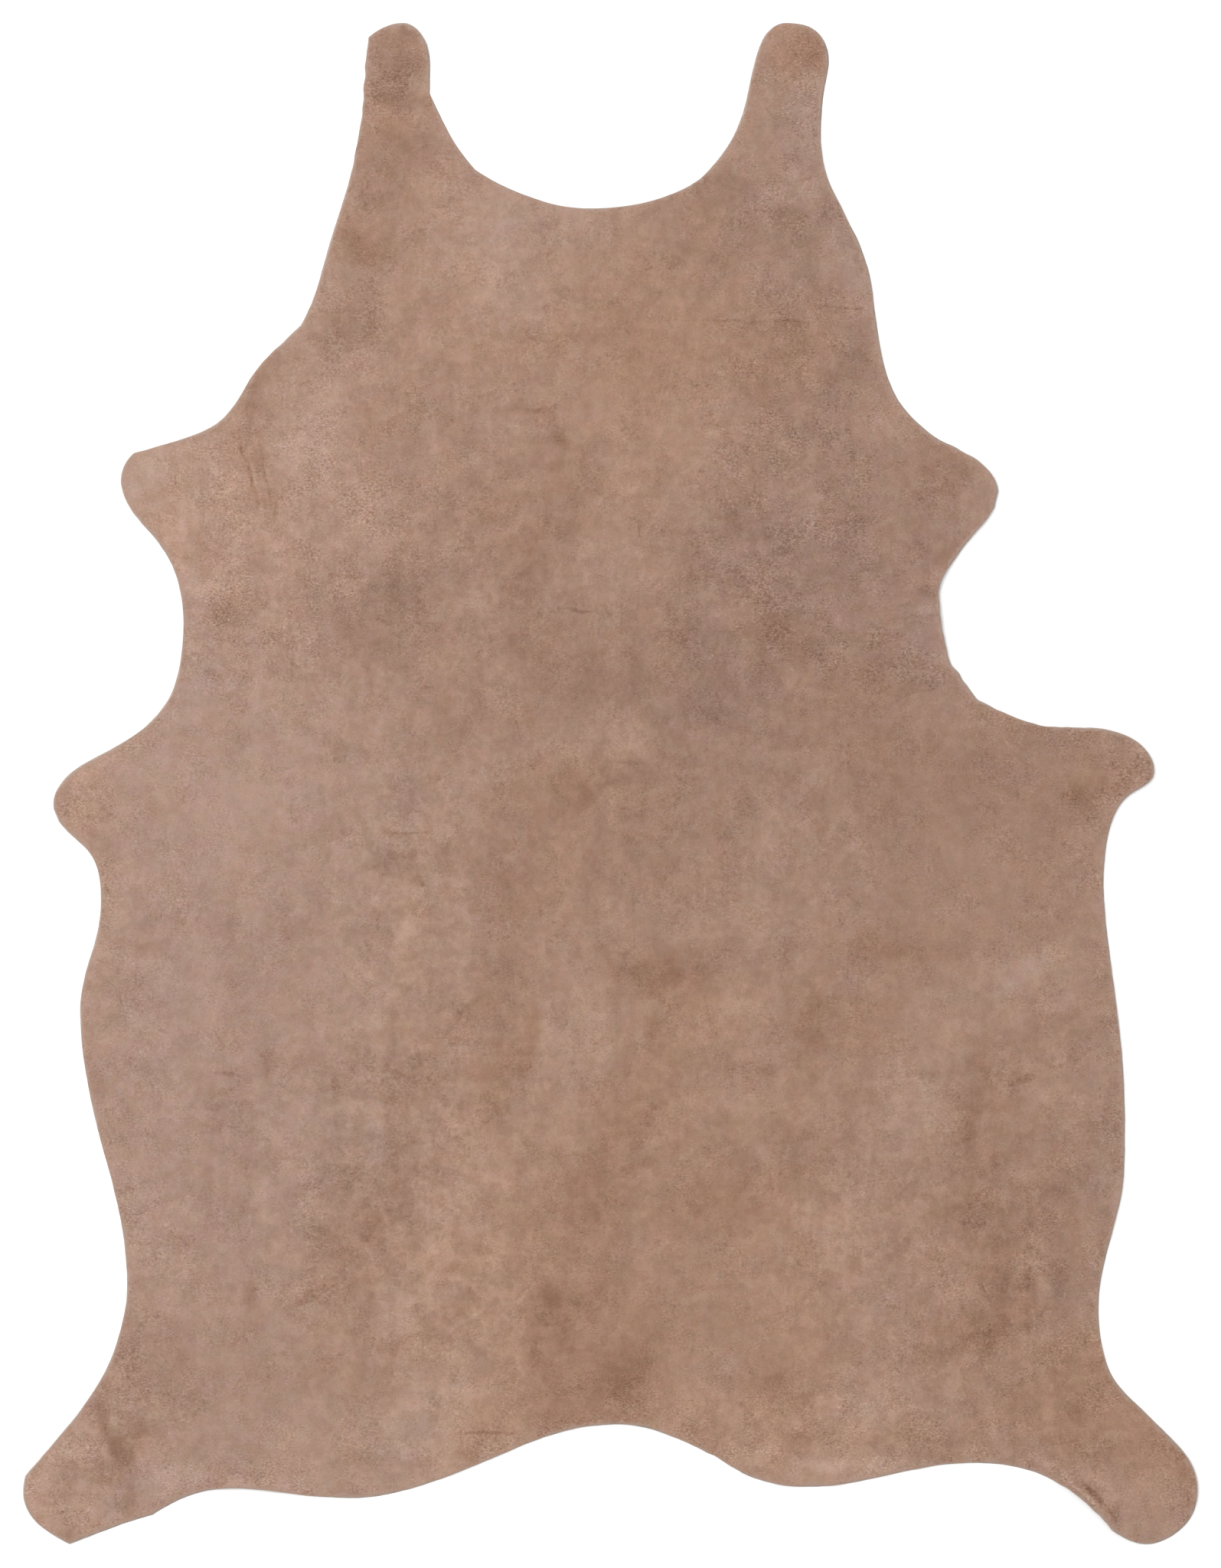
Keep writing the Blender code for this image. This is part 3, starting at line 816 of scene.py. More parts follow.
# Where the mottling is stronger, or weaker below 0, than elsewhere. Strength adds to 1.
mottles = table("place x y along across heading strength", [
    ("left shoulder", -470, 330, 170, 90, 80, 0.25),
    ("left elbow", -450, 190, 110, 60, 0, 0.1),
    ("chest, left", -170, 300, 110, 90, 0, 0.2),
    ("chest, right", 150, 250, 90, 60, 30, 0.3),
    ("left ribs", -260, -130, 110, 60, 90, 0.5),
    ("left loin", -270, -480, 190, 90, 90, 0.5),
    ("rump, left", -190, -690, 110, 90, 0, 0.35),
    ("rump, right", 330, -560, 130, 90, 0, 0.3),
    ("right thigh", 520, -640, 130, 90, 90, 0.3),
    ("left hind leg", -670, -860, 90, 80, 50, 0.5),
    ("lower edge", 300, -860, 260, 60, 0, 0.3),
    ("right body", 480, -90, 190, 130, 80, -0.35),
    ("left body", -520, -20, 120, 100, 0, -0.35),
    ("left body, lower", -460, -270, 100, 90, 0, -0.3),
    ("left rump", -520, -780, 110, 90, 0, -0.3),
    ("back", -60, 480, 120, 90, 0, -0.1),
    ("right rump, middle", 130, -700, 120, 80, 90, -0.25),
])

# Where the brown is greener, or redder below 0, in display levels.
olives = table("place x y along across heading strength", [
    ("back", -20, -330, 560, 300, 90, 0.45),
    ("left rib line", -265, -260, 200, 56, 88, 1.1),
    ("left rump", -240, -820, 130, 76, 60, 1.5),
    ("neck", -120, 690, 150, 90, 0, 0.8),
    ("right of backbone", 140, -100, 100, 70, 0, 0.5),
    ("chest", 20, 60, 60, 40, 0, 0.5),
    ("nape", 0, 580, 220, 150, 90, 0.35),
    ("left foreleg tip", -600, 400, 40, 40, 0, 0.5),
    ("right shoulder", 270, 280, 210, 170, 60, -1.0),
    ("right body", 520, -30, 200, 120, 0, -1.0),
    ("right edge", 640, -400, 300, 30, 90, -0.4),
    ("left body", -560, -330, 430, 130, 90, -0.45),
    ("left elbow", -420, 250, 160, 90, 0, -0.5),
    ("left shoulder", -365, 500, 110, 50, 80, -0.4),
    ("left hind leg", -660, -800, 140, 110, 60, -0.5),
    ("right hind leg", 670, -860, 150, 110, -50, -1.0),
    ("right neck", 250, 740, 90, 60, 90, -0.4),
    ("tail head", -40, -725, 130, 80, 70, -1.5),
    ("rump, spine", -45, -540, 110, 50, 80, -0.8),
    ("right thigh", 490, -700, 80, 60, 0, -0.7),
    ("left flank point", -653, -36, 28, 20, 67, 1.4),
    ("left rib, upper", -230, -142, 48, 34, 70, 1.4),
    ("left rib, outer", -394, -160, 52, 24, 80, 1.4),
    ("left rib, middle", -333, -108, 36, 24, 0, 1.3),
    ("left loin", -289, -479, 24, 22, 0, 1.3),
    ("left foreleg, lower", -618, 368, 30, 16, 116, 1.2),
    ("left chest", -197, 177, 22, 18, 0, 1.2),
    ("left tab", -329, 784, 24, 16, 70, 1.2),
    ("left thigh", -617, -738, 34, 22, 36, -1.3),
    ("loin", 390, 54, 110, 32, -5, -1.1),
    ("right edge, upper", 568, -76, 140, 34, 76, -0.8),
    ("left neck, low", -367, 588, 60, 33, 47, 1.1),
    ("left loin, long", -244, -448, 76, 30, 40, 1.1),
    ("right rump, low", 228, -774, 60, 38, 90, -1.1),
    ("right rump, high", 186, -603, 64, 28, 0, -1.1),
    ("loin, upper", 308, 117, 46, 24, 0, -1.2),
    ("left flank, upper", -470, 10, 60, 26, 40, 1.2),
])


def summed(rows, points, edge=paint["patchEdge"]):
    # what the rows add at each point
    total = 0
    for row in rows:
        levels = row[6:]      # all that stands after the heading
        along, across = turned(points, row)
        reach = np.hypot(along / (row.along * mm), across / (row.across * mm))
        share = np.exp(-paint["falloff"] * reach**edge)
        total = total + np.outer(levels, share)
    return total


def setValues(mesh, name, values, count):
    # the foot of the cut takes the values of its top, and the flesh side needs none
    everywhere = np.zeros(len(mesh.vertices), np.float32)
    everywhere[:len(values)] = values
    everywhere[len(values):len(values) + count] = values[:count]
    layer = mesh.attributes.new(name, "FLOAT", "POINT")
    layer.data.foreach_set("value", everywhere)


def paintSheet(mesh, points, fromCut, count):
    # the patches' outlines are broken up by moving each point a little before it is looked up
    shift = sum(
        np.column_stack([wave(points, *one) for one in paint[size]])
        for size in ("warpLarge", "warpSmall")
    )
    moved = points + shift
    tone, warmth = summed(patches, moved) + paint["markStrength"] * summed(
        marks, points + paint["markStray"] * shift, paint["markEdge"]
    )
    tone += paint["edgePale"] * np.exp(-fromCut / paint["edgePaleReach"])
    rough = 1 + summed(roughs, moved)[0]
    low = points[:, 1] < paint["edgeRoughTop"]
    rough += paint["edgeRough"] * np.exp(-fromCut / paint["edgeRoughReach"]) * low
    setValues(mesh, "tone", tone, count)
    setValues(mesh, "warmth", warmth, count)
    setValues(mesh, "rough", rough, count)
    setValues(mesh, "mottled", 1 + summed(mottles, moved)[0], count)
    setValues(mesh, "olive", summed(olives, moved)[0], count)
    setValues(mesh, "fromCut", np.minimum(fromCut, paint["edgeReach"]), count)


# A flat map of the piece: the suede side large, the flesh side small below a strip where the
# cut is unrolled in columns. Places and sizes are shares of the map.
unrolled = {
    "margin": 0.006,
    "suedeScale": 0.497,      # for each metre
    "fleshScale": 0.139,
    "stripStart": 0.781,
    "columns": 6,
    "columnStep": 0.036,
    "columnWidth": 0.022,
    "columnFoot": 0.296,
    "columnHeight": 0.69,
}


def readAll(items, name):
    values = np.empty(len(items), int)
    items.foreach_get(name, values)
    return values


def layMap(mesh, foot, lift):
    layer = mesh.uv_layers.new(name="OFBake")
    corner = readAll(mesh.loops, "vertex_index")
    sizes = readAll(mesh.polygons, "loop_total")
    side = np.repeat(readAll(mesh.polygons, "material_index"), sizes)
    places = np.array([vert.co for vert in mesh.vertices])[corner]
    flat = places[:, :2] - foot.min(axis=0)
    margin = unrolled["margin"]
    spots = margin + unrolled["suedeScale"] * flat
    flesh = side == onFlesh
    spots[flesh] = (unrolled["stripStart"], margin) + unrolled["fleshScale"] * flat[flesh]
    cutLoops = np.flatnonzero(side == onCut)
    tree = searchTree(foot)
    nearest = np.array([tree.find((x, y, 0))[1] for x, y, _ in places[cutLoops]])
    onward = unit(np.roll(foot, -1, axis=0) - np.roll(foot, 1, axis=0))
    steps = np.linalg.norm(np.roll(foot, -1, axis=0) - foot, axis=1)
    length = steps.sum()
    start = np.cumsum(steps) - steps
    along = start[nearest] + ((places[cutLoops, :2] - foot[nearest]) * onward[nearest]).sum(axis=1)
    firstLoop = np.repeat(np.cumsum(sizes) - sizes, sizes)[cutLoops]
    faceStart = along[np.searchsorted(cutLoops, firstLoop)] % length
    columnLength = length / unrolled["columns"]
    column = np.floor(faceStart / columnLength)
    rise = (along - column * columnLength + length / 2) % length - length / 2
    height = (places[cutLoops, 2] - lift[nearest]) / hide["thickness"]
    across = unrolled["columnStep"] * column + unrolled["columnWidth"] * height
    spots[cutLoops, 0] = unrolled["stripStart"] + across
    spots[cutLoops, 1] = unrolled["columnFoot"] + unrolled["columnHeight"] * rise / columnLength
    layer.data.foreach_set("uv", spots.ravel())


def nearRows(points, fineRows):
    # whether each point lies by a crease or a mark, with a little room round it
    near = np.zeros(len(points), bool)
    alongRoom, acrossRoom = hide["markRoom"]
    for row in fineRows:
        if row in creases:
            along, across = alongCrease(points, row)
            near |= (abs(along) < 1) & (abs(across) < hide["creaseRoom"] * row.width * mm)
        else:
            along, across = turned(points, row)
            beside = abs(along) < alongRoom * row.along * mm
            near |= beside & (abs(across) < acrossRoom * row.across * mm)
    return near


def insidePoints(outline, step, clearance, fineRows):
    # rows of points half a step apart: all of them by the fine rows, and elsewhere
    # only the even rows' every second point, which are a step apart
    half = step / 2
    rise = half * math.sqrt(3) / 2
    low, high = outline[:, 1].min(), outline[:, 1].max()
    found, wide = [], []
    for row in range(math.ceil(low / rise), math.floor(high / rise) + 1):
        offset = half / 2 * (row % 2)
        xs = crossings(outline, row * rise)
        for left, right in zip(xs[::2], xs[1::2]):
            first = math.ceil((left - offset) / half)
            columns = np.arange(first, math.floor((right - offset) / half) + 1)
            ys = np.full(len(columns), row * rise)
            found.append(np.column_stack([columns * half + offset, ys]))
            wide.append((row % 2 == 0) & ((columns - row // 2) % 2 == 0))
    points = np.vstack(found)
    points = points[np.concatenate(wide) | nearRows(points, fineRows)]
    return points[distances(outline, points) > clearance]


def triangles(outline, others):
    # flat points and faces, with the outline's points first
    count = len(outline)
    loop = [(i, (i + 1) % count) for i in range(count)]
    flat = [Vector(point) for point in np.vstack([outline, others])]
    insideOnly, merge = 1, 0.001 * mm
    flat, _, faces, *_ = geometry.delaunay_2d_cdt(flat, loop, [], insideOnly, merge)
    return np.array([point[:] for point in flat]), faces


def select(obj):
    bpy.ops.object.select_all(action="DESELECT")
    obj.select_set(True)
    bpy.context.view_layer.objects.active = obj


def makeSheet():
    foot = knifeLine(smoothOutline(solidOutline(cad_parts[hide["node"]])))
    away = outwards(foot)
    edge = foot - away * lean(foot)[:, None]
    firstRow = edge - away * hide["firstRow"]
    clearance = hide["firstRow"] + hide["meshRoom"] * hide["meshStep"]
    inner = insidePoints(edge, hide["meshStep"], clearance, marks + creases)
    count = len(edge)
    top, topFaces = triangles(edge, np.vstack([firstRow, inner]))
    clearance = hide["underRoom"] * hide["underStep"]
    underside = insidePoints(foot, hide["underStep"], clearance, creases)
    under, underFaces = triangles(foot, underside)
    print("outline", count, "points, suede side", len(top), "flesh side", len(under))
    fromCut = distances(edge, top)
    fromCut[:count] = 0
    lift = liftAt(top, fromCut)
    underLift = liftAt(under, distances(foot, under))
    underLift[:count] = lift[:count]
    mesh = bpy.data.meshes.new(hide["name"])
    places = np.vstack([
        np.column_stack([top, lift + hide["thickness"]]),
        np.column_stack([under, underLift]),
    ])
    first = len(top)
    faces = [tuple(face) for face in topFaces]
    faces += [tuple(first + i for i in reversed(face)) for face in underFaces]
    for i in range(count):
        j = (i + 1) % count
        faces.append((first + i, first + j, j, i))
    mesh.from_pydata(places.tolist(), [], faces)
    mesh.validate()
    slots = [onSuede] * len(topFaces) + [onFlesh] * len(underFaces) + [onCut] * count
    mesh.polygons.foreach_set("material_index", slots)
    sheet = bpy.data.objects.new(hide["name"], mesh)
    bpy.context.collection.objects.link(sheet)
    paintSheet(mesh, top, fromCut, count)
    for material in (suedeNap(), plainSide("fleshSide"), plainSide("cutFace")):
        mesh.materials.append(material)
    select(sheet)
    bevel = sheet.modifiers.new("softCut", "BEVEL")
    bevel.width = hide["bevel"]
    bevel.segments = hide["bevelSegments"]
    bevel.limit_method = "ANGLE"
    bevel.angle_limit = math.radians(hide["bevelAngle"])
    bpy.ops.object.modifier_apply(modifier=bevel.name)
    bpy.ops.object.shade_smooth_by_angle(angle=math.radians(hide["sharpAngle"]))
    layMap(mesh, foot, lift[:count])
    corners = sum(len(face.vertices) - 2 for face in mesh.polygons)
    print("sheet", len(mesh.vertices), "points,", corners, "triangles")
    return sheet


dye = {
    "tan": (166, 133.4, 116),
    "spread": 40,             # levels from the middle tone to the palest and to the deepest
    "warmTint": (1.045, 0.996, 0.915),
    "coolTint": (0.957, 1.002, 1.09),
    "pinkTint": (1.01, 0.99, 1.01),
    "greenTint": (0.99, 1.01, 0.99),
    "warmSpread": 8,          # levels of red less blue that one full tint gives
    "greenSpread": 1.15,      # and levels of green
    "rim": (177, 150, 136),
    "exposure": 1.23,         # light that falls on the sheet, against what white paper needs
}


def linear(levels):
    # display levels to the share of light that the surface sends back
    shares = [(level / 255 + 0.055) / 1.055 for level in levels]
    return tuple(share**2.4 / dye["exposure"] for share in shares) + (1.0,)


def fill(tree, node, inputs):
    # each input is given a value or linked to another node's output
    for key, value in inputs.items():
        if isinstance(value, bpy.types.NodeSocket):
            tree.links.new(value, node.inputs[key])
        else:
            node.inputs[key].default_value = value


def addNode(tree, kind, inputs=None, **settings):
    node = tree.nodes.new("ShaderNode" + kind)
    for name, value in settings.items():
        setattr(node, name, value)
    fill(tree, node, inputs or {})
    return node


def combine(tree, operation, first, second=0.0, third=0.0):
    inputs = {0: first, 1: second, 2: third}
    return addNode(tree, "Math", inputs, operation=operation).outputs[0]


def scatter(tree, place, scale, detail=2.0, roughness=0.5, stretch=(1, 1, 1), distortion=0.0):
    # signed noise, each octave about as strong as the last when roughness is 1
    mapping = addNode(tree, "Mapping", {"Vector": place, "Scale": stretch})
    inputs = {
        "Vector": mapping.outputs[0],
        "Scale": scale,
        "Detail": detail,
        "Roughness": roughness,
        "Distortion": distortion,
    }
    return addNode(tree, "TexNoise", inputs, normalize=False).outputs[0]


def ranged(tree, value, low, high, start=0.0, end=1.0, style="SMOOTHSTEP"):
    inputs = {"Value": value, "From Min": low, "From Max": high, "To Min": start, "To Max": end}
    return addNode(tree, "MapRange", inputs, interpolation_type=style).outputs[0]


def attribute(tree, name):
    return addNode(tree, "Attribute", attribute_name=name).outputs["Fac"]


def mixColours(tree, share, first, second, blend="MIX"):
    inputs = {0: share, 6: first, 7: second}      # 6 and 7 are the node's colours
    return addNode(tree, "Mix", inputs, data_type="RGBA", blend_type=blend).outputs[2]


def startMaterial(name):
    material = bpy.data.materials.new(name)
    material.use_nodes = True
    tree = material.node_tree
    tree.nodes.clear()
    shader = addNode(tree, "BsdfPrincipled")
    output = addNode(tree, "OutputMaterial")
    tree.links.new(shader.outputs[0], output.inputs["Surface"])
    place = addNode(tree, "TexCoord").outputs["Object"]
    return material, tree, shader, place


def dress(tree, shader, look, colour, height, roughness):
    inputs = {"Strength": look["bump"], "Distance": look["bumpDepth"], "Height": height}
    fill(tree, shader, {
        "Base Color": colour,
        "Normal": addNode(tree, "Bump", inputs).outputs[0],
        "Roughness": roughness,
        "Specular IOR Level": look["specular"],
    })


# Lines too fine for the mesh's points, some of them painted shade along creases and folds and a
# painted highlight on the curled lip. The leather's material draws them.
lines = table("place x y along across heading tone", [
    ("right neck, cross line", 180, 604, 130, 2.3, -1, -7),
    ("right neck, short line", 305, 622, 34, 2.5, -2, -9),
    ("left shoulder, dark line", -472, 405, 66, 3.0, 106, -12),
    ("left shoulder, second line", -451, 398, 62, 2.8, 101, -11),
    ("left shoulder, pale line", -461, 380, 52, 2.8, 103, 10),
    ("left shoulder, dark dash", -437, 360, 16, 4.0, 86, -12),
    ("left bay, brown spot", -553, 292, 15, 6.0, -18, -13),
    ("left elbow, dark step", -345, 270, 38, 3.6, -4, -9),
    ("left elbow, pleat", -425, 204, 26, 3.0, 88, 9),
    # painted shade along the withers fold
    ("withers, flat line", -122, 488, 44, 5.5, 0, -9),
    ("back, short line low", -45, 226, 30, 4.0, -5, -10),
    ("right armpit, dash", 437, 140, 12, 3.5, 78, -12),
    ("flank, pale fleck", 527, 48, 17, 3.6, -40, 11),
    ("flank, dark fleck", 534, 35, 17, 3.0, -46, -12),
    ("chest, crisp foot", 24, 27, 48, 3.2, -4, -9),
    ("back, upright line", 30, -178, 46, 2.8, 90, -10),
    ("left ribs, line", -262, -63, 34, 3.0, 2, -10),
    ("left body, brown line", -505, -379, 32, 3.6, -8, -10),
    ("backbone, dark slant", -178, -285, 18, 4.6, 30, -15),
    ("backbone, dark slant low", -205, -312, 28, 5.0, 54, -9),
    # painted shade along the two right flank creases
    ("right flank, crease", 558, -379, 54, 7.0, 20, -9),
    ("right flank, upper crease", 600, -312, 62, 7.0, 10, -7),
    ("left rump, curl", -178, -672, 21, 7.0, -58, -17),
    ("left rump, curl shade", -193, -690, 27, 4.5, 34, -9),
    ("left rump, curl light", -189, -702, 40, 4.2, 33, 12),
    ("rump, pale arc", -124, -678, 42, 3.6, 45, 12),
    ("rump, thin arc", -50, -738, 18, 2.4, 0, -10),
    ("left rump, long line", -153, -848, 52, 3.0, 0, -13),
    # painted shade along the left thigh fold
    ("left thigh, fold", -384, -664, 66, 8.0, 30, -7),
    # the right hind leg's curled lip: a painted highlight on its top and painted shade in the
    # trough beside it
    ("right leg, lip", 616, -926, 38, 3.6, -45, 14),
    ("right leg, shade of lip", 638, -936, 42, 4.6, -49, -20),
    ("right thigh, inner column", 544, -692, 64, 4.0, 89, -9),
])

# Noises have a scale, detail, roughness, stretch and distortion. Strengths are in levels.
# Ranges go from low to high and give 0 to 1, or what their last two numbers say.
nap = {
    "mottle": (11, 6.0, 0.95, (1.25, 0.85, 1)),
    "mottleStrength": 4.2,
    # painted sheen: the laid nap's lighter and darker patches, drawn into the colour
    "napSheenLays": (                 # patches where the nap lies one way or the other
        (1.1, 9, 3.0, 0.5, (1.4, 0.75, 1), 0.3),
        (1.8, 20, 3.0, 0.5, (1, 1, 1), 0.3),
        (2.4, 44, 3.0, 0.5, (1, 1, 1), 0.3),
        (1.8, 100, 3.0, 0.5, (1, 1, 1), 0.3),
    ),
    "laySoftness": 0.16,
    "strokesDown": (13, 3.0, 0.5, (4.0, 0.8, 1), 0.3),
    "strokesAcross": (13, 3.0, 0.5, (0.8, 4.0, 1), 0.3),
    "strokeStrength": 1.2,
    "turning": (5, 1.0, 0.5),
    "turningRange": (-0.2, 0.3),
    "fleck": (190, 1.0, 0.5),
    "fleckRange": (0.2, 0.5),
    "fleckStrength": 9.0,
    "cluster": (17, 3.0, 0.7),
    "clusterRange": (0.0, 0.4),
    "grain": (380, 1.0, 0.8, (0.8, 1.2, 1), 0.25),
    "grainStrength": 9.8,
    "grainPatch": (17, 5.0, 0.8),
    "grainPatchRange": (-0.45, 0.55, 0.4, 1.6),
    "lineCore": 0.5,          # share of a line's width that has its full tone
    "lineWander": 3.5 * mm,
    "lineWanderScale": 32,
    "lineWanderDetail": 3.0,
    "darkWarmth": -0.12,      # brown gained for each level of tone
    "warm": (20, 5.0, 0.95),
    "warmStrength": 3.1,
    "green": (30, 4.0, 0.9),
    "greenStrength": 2.0,
    "rim": (90, 4.0, 0.8),
    "rimWander": 4 * mm,
    "rimRange": (0.0, 4.5 * mm, 0.8, 0.0),
    "fibre": (900, 2.0, 0.7),
    "fibreRelief": 0.4,
    "mottleRelief": 0.35,
    "bump": 0.35,
    "bumpDepth": 0.5 * mm,
    "roughness": 0.93,
    "mottleRoughness": 0.05,
    "sheen": 0.25,
    "sheenRoughness": 0.5,
    "sheenTint": (1.0, 0.93, 0.88, 1.0),
    "specular": 0.2,
}


def lay(tree, place, *recipe):
    # -1 or 1 where the nap lies one way or the other, with a ragged line between; drawn as lighter
    # and darker colour, this is painted sheen of the laid nap
    soft = nap["laySoftness"]
    return ranged(tree, scatter(tree, place, *recipe), -soft, soft, -1.0, 1.0)


def linesWithPaintedLight(tree, place):
    # each line has its full tone in the middle of its ellipse and none at the rim
    inputs = {
        "Vector": place,
        "Scale": nap["lineWanderScale"],
        "Detail": nap["lineWanderDetail"],
    }
    stray = addNode(tree, "TexNoise", inputs, normalize=False).outputs["Color"]
    inputs = {0: stray, 1: (nap["lineWander"], nap["lineWander"], 0), 2: place}
    moved = addNode(tree, "VectorMath", inputs, operation="MULTIPLY_ADD").outputs[0]
    total = 0.0
    for row in lines:
        inputs = {
            "Vector": moved,
            "Location": (row.x * mm, row.y * mm, 0),
            "Rotation": (0, 0, math.radians(row.heading)),
            "Scale": (row.along * mm, row.across * mm, 1),
        }
        inside = addNode(tree, "Mapping", inputs, vector_type="TEXTURE").outputs[0]
        away = addNode(tree, "VectorMath", {0: inside}, operation="LENGTH").outputs["Value"]
        share = ranged(tree, away, 1.0, nap["lineCore"], 0.0, row.tone)
        total = combine(tree, "ADD", share, total)
    return total


def suedeNap():
    material, tree, shader, place = startMaterial("suedeNap")

    def noisy(name):
        return scatter(tree, place, *nap[name])

    def within(name, value, style="LINEAR"):
        return ranged(tree, value, *nap[name + "Range"], style=style)

    def plus(first, times, added):
        return combine(tree, "MULTIPLY_ADD", first, times, added)

    def product(first, second):
        return combine(tree, "MULTIPLY", first, second)

    # soft mottling at every size, painted sheen of the nap: lighter and darker patches where it
    # lies one way or the other and brush strokes down and across, then the nap's own grain
    mottle = noisy("mottle")
    pattern = product(mottle, nap["mottleStrength"])
    for strength, *recipe in nap["napSheenLays"]:
        pattern = plus(lay(tree, place, *recipe), strength, pattern)
    down = lay(tree, place, *nap["strokesDown"])
    across = lay(tree, place, *nap["strokesAcross"])
    downShare = within("turning", noisy("turning"))
    strokes = addNode(tree, "Mix", {0: downShare, 2: across, 3: down}).outputs[0]
    pattern = plus(strokes, nap["strokeStrength"], pattern)
    tone = plus(pattern, attribute(tree, "mottled"), attribute(tree, "tone"))
    # short dark flecks, in clusters
    fleck = within("fleck", noisy("fleck"))
    flecks = product(fleck, within("cluster", noisy("cluster")))
    tone = plus(flecks, -nap["fleckStrength"], tone)
    grainShare = within("grainPatch", noisy("grainPatch"))
    roughGrain = product(product(noisy("grain"), grainShare), attribute(tree, "rough"))
    # the fine lines, among them painted shade along creases and folds and a painted highlight on
    # the curled lip
    lineToneWithPaintedLight = product(linesWithPaintedLight(tree, place), grainShare)
    tone = combine(tree, "ADD", tone, lineToneWithPaintedLight)
    tone = plus(roughGrain, nap["grainStrength"], tone)
    ramp = addNode(tree, "ValToRGB", {0: plus(tone, 0.5 / dye["spread"], 0.5)})
    stops = ramp.color_ramp.elements
    for share in (-0.5, 0.0, 0.5):
        stops.new(0.5 + 0.5 * share)
    for stop in stops:
        share = 2 * stop.position - 1
        stop.color = linear([level + share * dye["spread"] for level in dye["tan"]])
    warmth = plus(noisy("warm"), nap["warmStrength"], attribute(tree, "warmth"))
    for darker in (pattern, lineToneWithPaintedLight):
        warmth = plus(darker, nap["darkWarmth"], warmth)
    tintShare = plus(warmth, 0.5 / dye["warmSpread"], 0.5)
    tint = mixColours(tree, tintShare, dye["coolTint"] + (1.0,), dye["warmTint"] + (1.0,))
    colour = mixColours(tree, 1.0, ramp.outputs[0], tint, "MULTIPLY")
    greenShare = plus(noisy("green"), nap["greenStrength"], 0.5)
    greenShare = plus(attribute(tree, "olive"), 0.5 / dye["greenSpread"], greenShare)
    tint = mixColours(tree, greenShare, dye["pinkTint"] + (1.0,), dye["greenTint"] + (1.0,))
    colour = mixColours(tree, 1.0, colour, tint, "MULTIPLY")
    # the rim is rubbed pale and grey where the chrome-tanned core shows
    reach = plus(noisy("rim"), nap["rimWander"], attribute(tree, "fromCut"))
    worn = within("rim", reach, "SMOOTHSTEP")
    colour = mixColours(tree, worn, colour, linear(dye["rim"]))
    height = plus(noisy("fibre"), nap["fibreRelief"], roughGrain)
    height = plus(mottle, nap["mottleRelief"], height)
    finish = plus(mottle, nap["mottleRoughness"], nap["roughness"])
    dress(tree, shader, nap, colour, height, finish)
    fill(tree, shader, {
        "Sheen Weight": nap["sheen"],
        "Sheen Roughness": nap["sheenRoughness"],
        "Sheen Tint": nap["sheenTint"],
    })
    return material


# The two plain faces: fibres over a broader, cloudy change from one colour to the other.
plainSides = {
    "fleshSide": {
        "pale": (186, 166, 149),
        "dark": (164, 142, 124),
        "fibre": (120, 4.0, 0.8, (1.6, 1, 1)),
        "fibreShare": 0.5,
        "cloud": (14, 4.0, 0.8),
        "cloudShare": 0.6,
        "middle": 0.5,
        "bump": 0.5,
        "bumpDepth": 0.6 * mm,
        "roughness": 0.95,
        "specular": 0.15,
    },
    "cutFace": {
        "pale": (190, 171, 159),
        "dark": (160, 139, 126),
        "fibre": (500, 2.0, 0.8),
        "fibreShare": 0.4,
        "cloud": (90, 3.0, 0.8, (1, 1, 14)),
        "cloudShare": 0.7,
        "middle": 0.6,
        "bump": 0.5,
        "bumpDepth": 0.3 * mm,
        "roughness": 0.92,
        "specular": 0.2,
    },
}


def plainSide(name):
    look = plainSides[name]
    material, tree, shader, place = startMaterial(name)
    fibre = scatter(tree, place, *look["fibre"])
    cloud = scatter(tree, place, *look["cloud"])
    share = combine(tree, "MULTIPLY_ADD", cloud, look["cloudShare"], look["middle"])
    share = combine(tree, "MULTIPLY_ADD", fibre, look["fibreShare"], share)
    colour = mixColours(tree, share, linear(look["dark"]), linear(look["pale"]))
    dress(tree, shader, look, colour, fibre, look["roughness"])
    return material


floorPlan = {
    "name": "floor",
    "size": 40.0,
    "paint": (0.95, 0.95, 0.95, 1.0),
    "roughness": 0.8,
    "specular": 0.1,
}


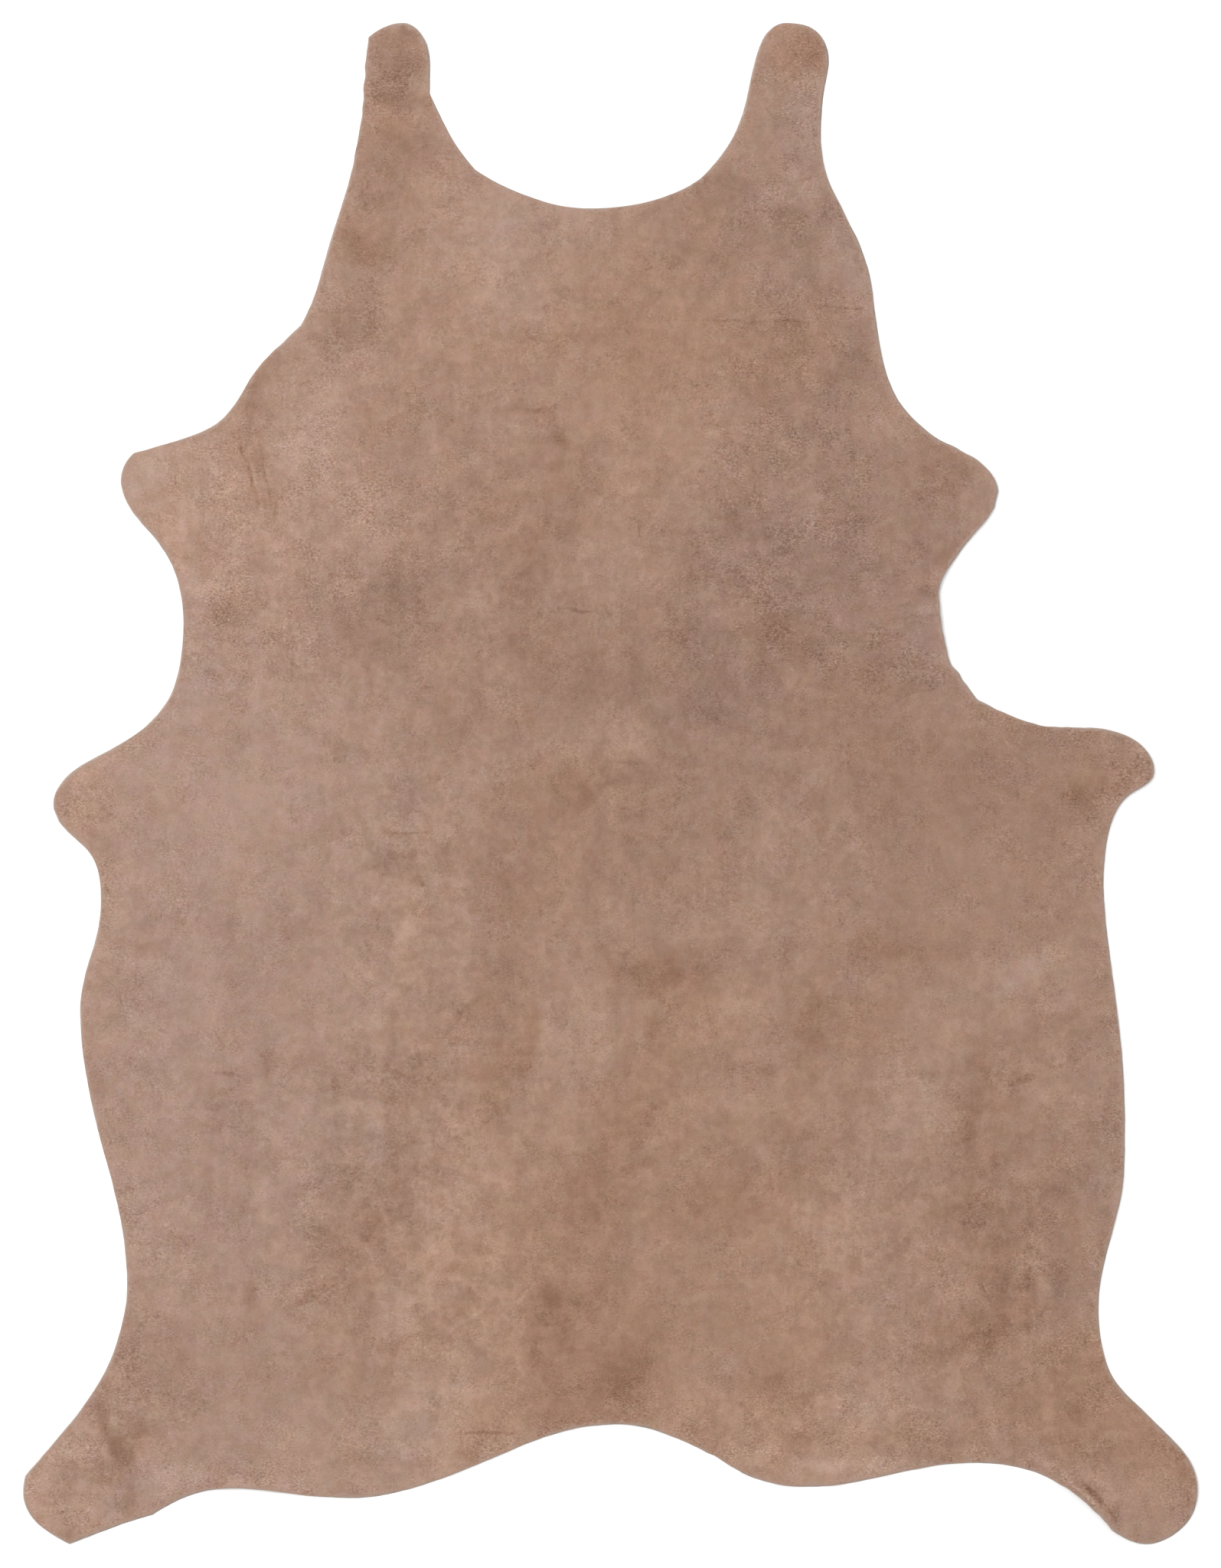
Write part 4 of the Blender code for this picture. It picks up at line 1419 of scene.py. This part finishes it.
def makeFloor():
    bpy.ops.object.select_all(action="DESELECT")
    bpy.ops.mesh.primitive_plane_add(size=floorPlan["size"], location=(0, 0, 0))
    floor = bpy.context.object
    floor.name = floorPlan["name"]
    material = bpy.data.materials.new("paleFloor")
    material.use_nodes = True
    tree = material.node_tree
    fill(tree, tree.nodes["Principled BSDF"], {
        "Base Color": floorPlan["paint"],
        "Roughness": floorPlan["roughness"],
        "Specular IOR Level": floorPlan["specular"],
    })
    floor.data.materials.append(material)
    return floor


room = {
    "glow": 0.82,
    "glowColour": (1.0, 0.995, 0.988, 1.0),
    "keyPlace": (-4.2, 2.4, 5.6),
    "keySize": 4.0,
    "keyPower": 340.0,
    "keyColour": (1.0, 0.985, 0.965),
}


def makeLight():
    world = bpy.data.worlds.new("paleRoom")
    world.use_nodes = True
    tree = world.node_tree
    glow = {"Color": room["glowColour"], "Strength": room["glow"]}
    fill(tree, tree.nodes["Background"], glow)
    bpy.context.scene.world = world
    bpy.ops.object.light_add(type="AREA", location=room["keyPlace"])
    key = bpy.context.object
    key.name = "softKey"
    key.rotation_euler = (-Vector(room["keyPlace"])).to_track_quat("-Z", "Y").to_euler()
    key.data.size = room["keySize"]
    key.data.energy = room["keyPower"]
    key.data.color = room["keyColour"]


camera = {
    "lens": 85.0,
    "film": 36.0,
    "frameHeight": 2.048,
    "centre": (0.0, -0.0005),
}


def makeCamera():
    distance = camera["frameHeight"] * camera["lens"] / camera["film"]
    x, y = camera["centre"]
    bpy.ops.object.camera_add(location=(x, y, distance + hide["thickness"]), rotation=(0, 0, 0))
    eye = bpy.context.object
    eye.name = "overhead"
    eye.data.lens = camera["lens"]
    eye.data.sensor_fit = "VERTICAL"
    eye.data.sensor_height = camera["film"]
    eye.data.dof.use_dof = False
    bpy.context.scene.camera = eye


makeCamera()
makeLight()
floor = makeFloor()
print("camera, light and floor placed")

sheet = makeSheet()
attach(sheet, "root")
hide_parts(hide["node"])
print("hide laid on the floor")

bpy.context.scene.view_settings.view_transform = "Standard"
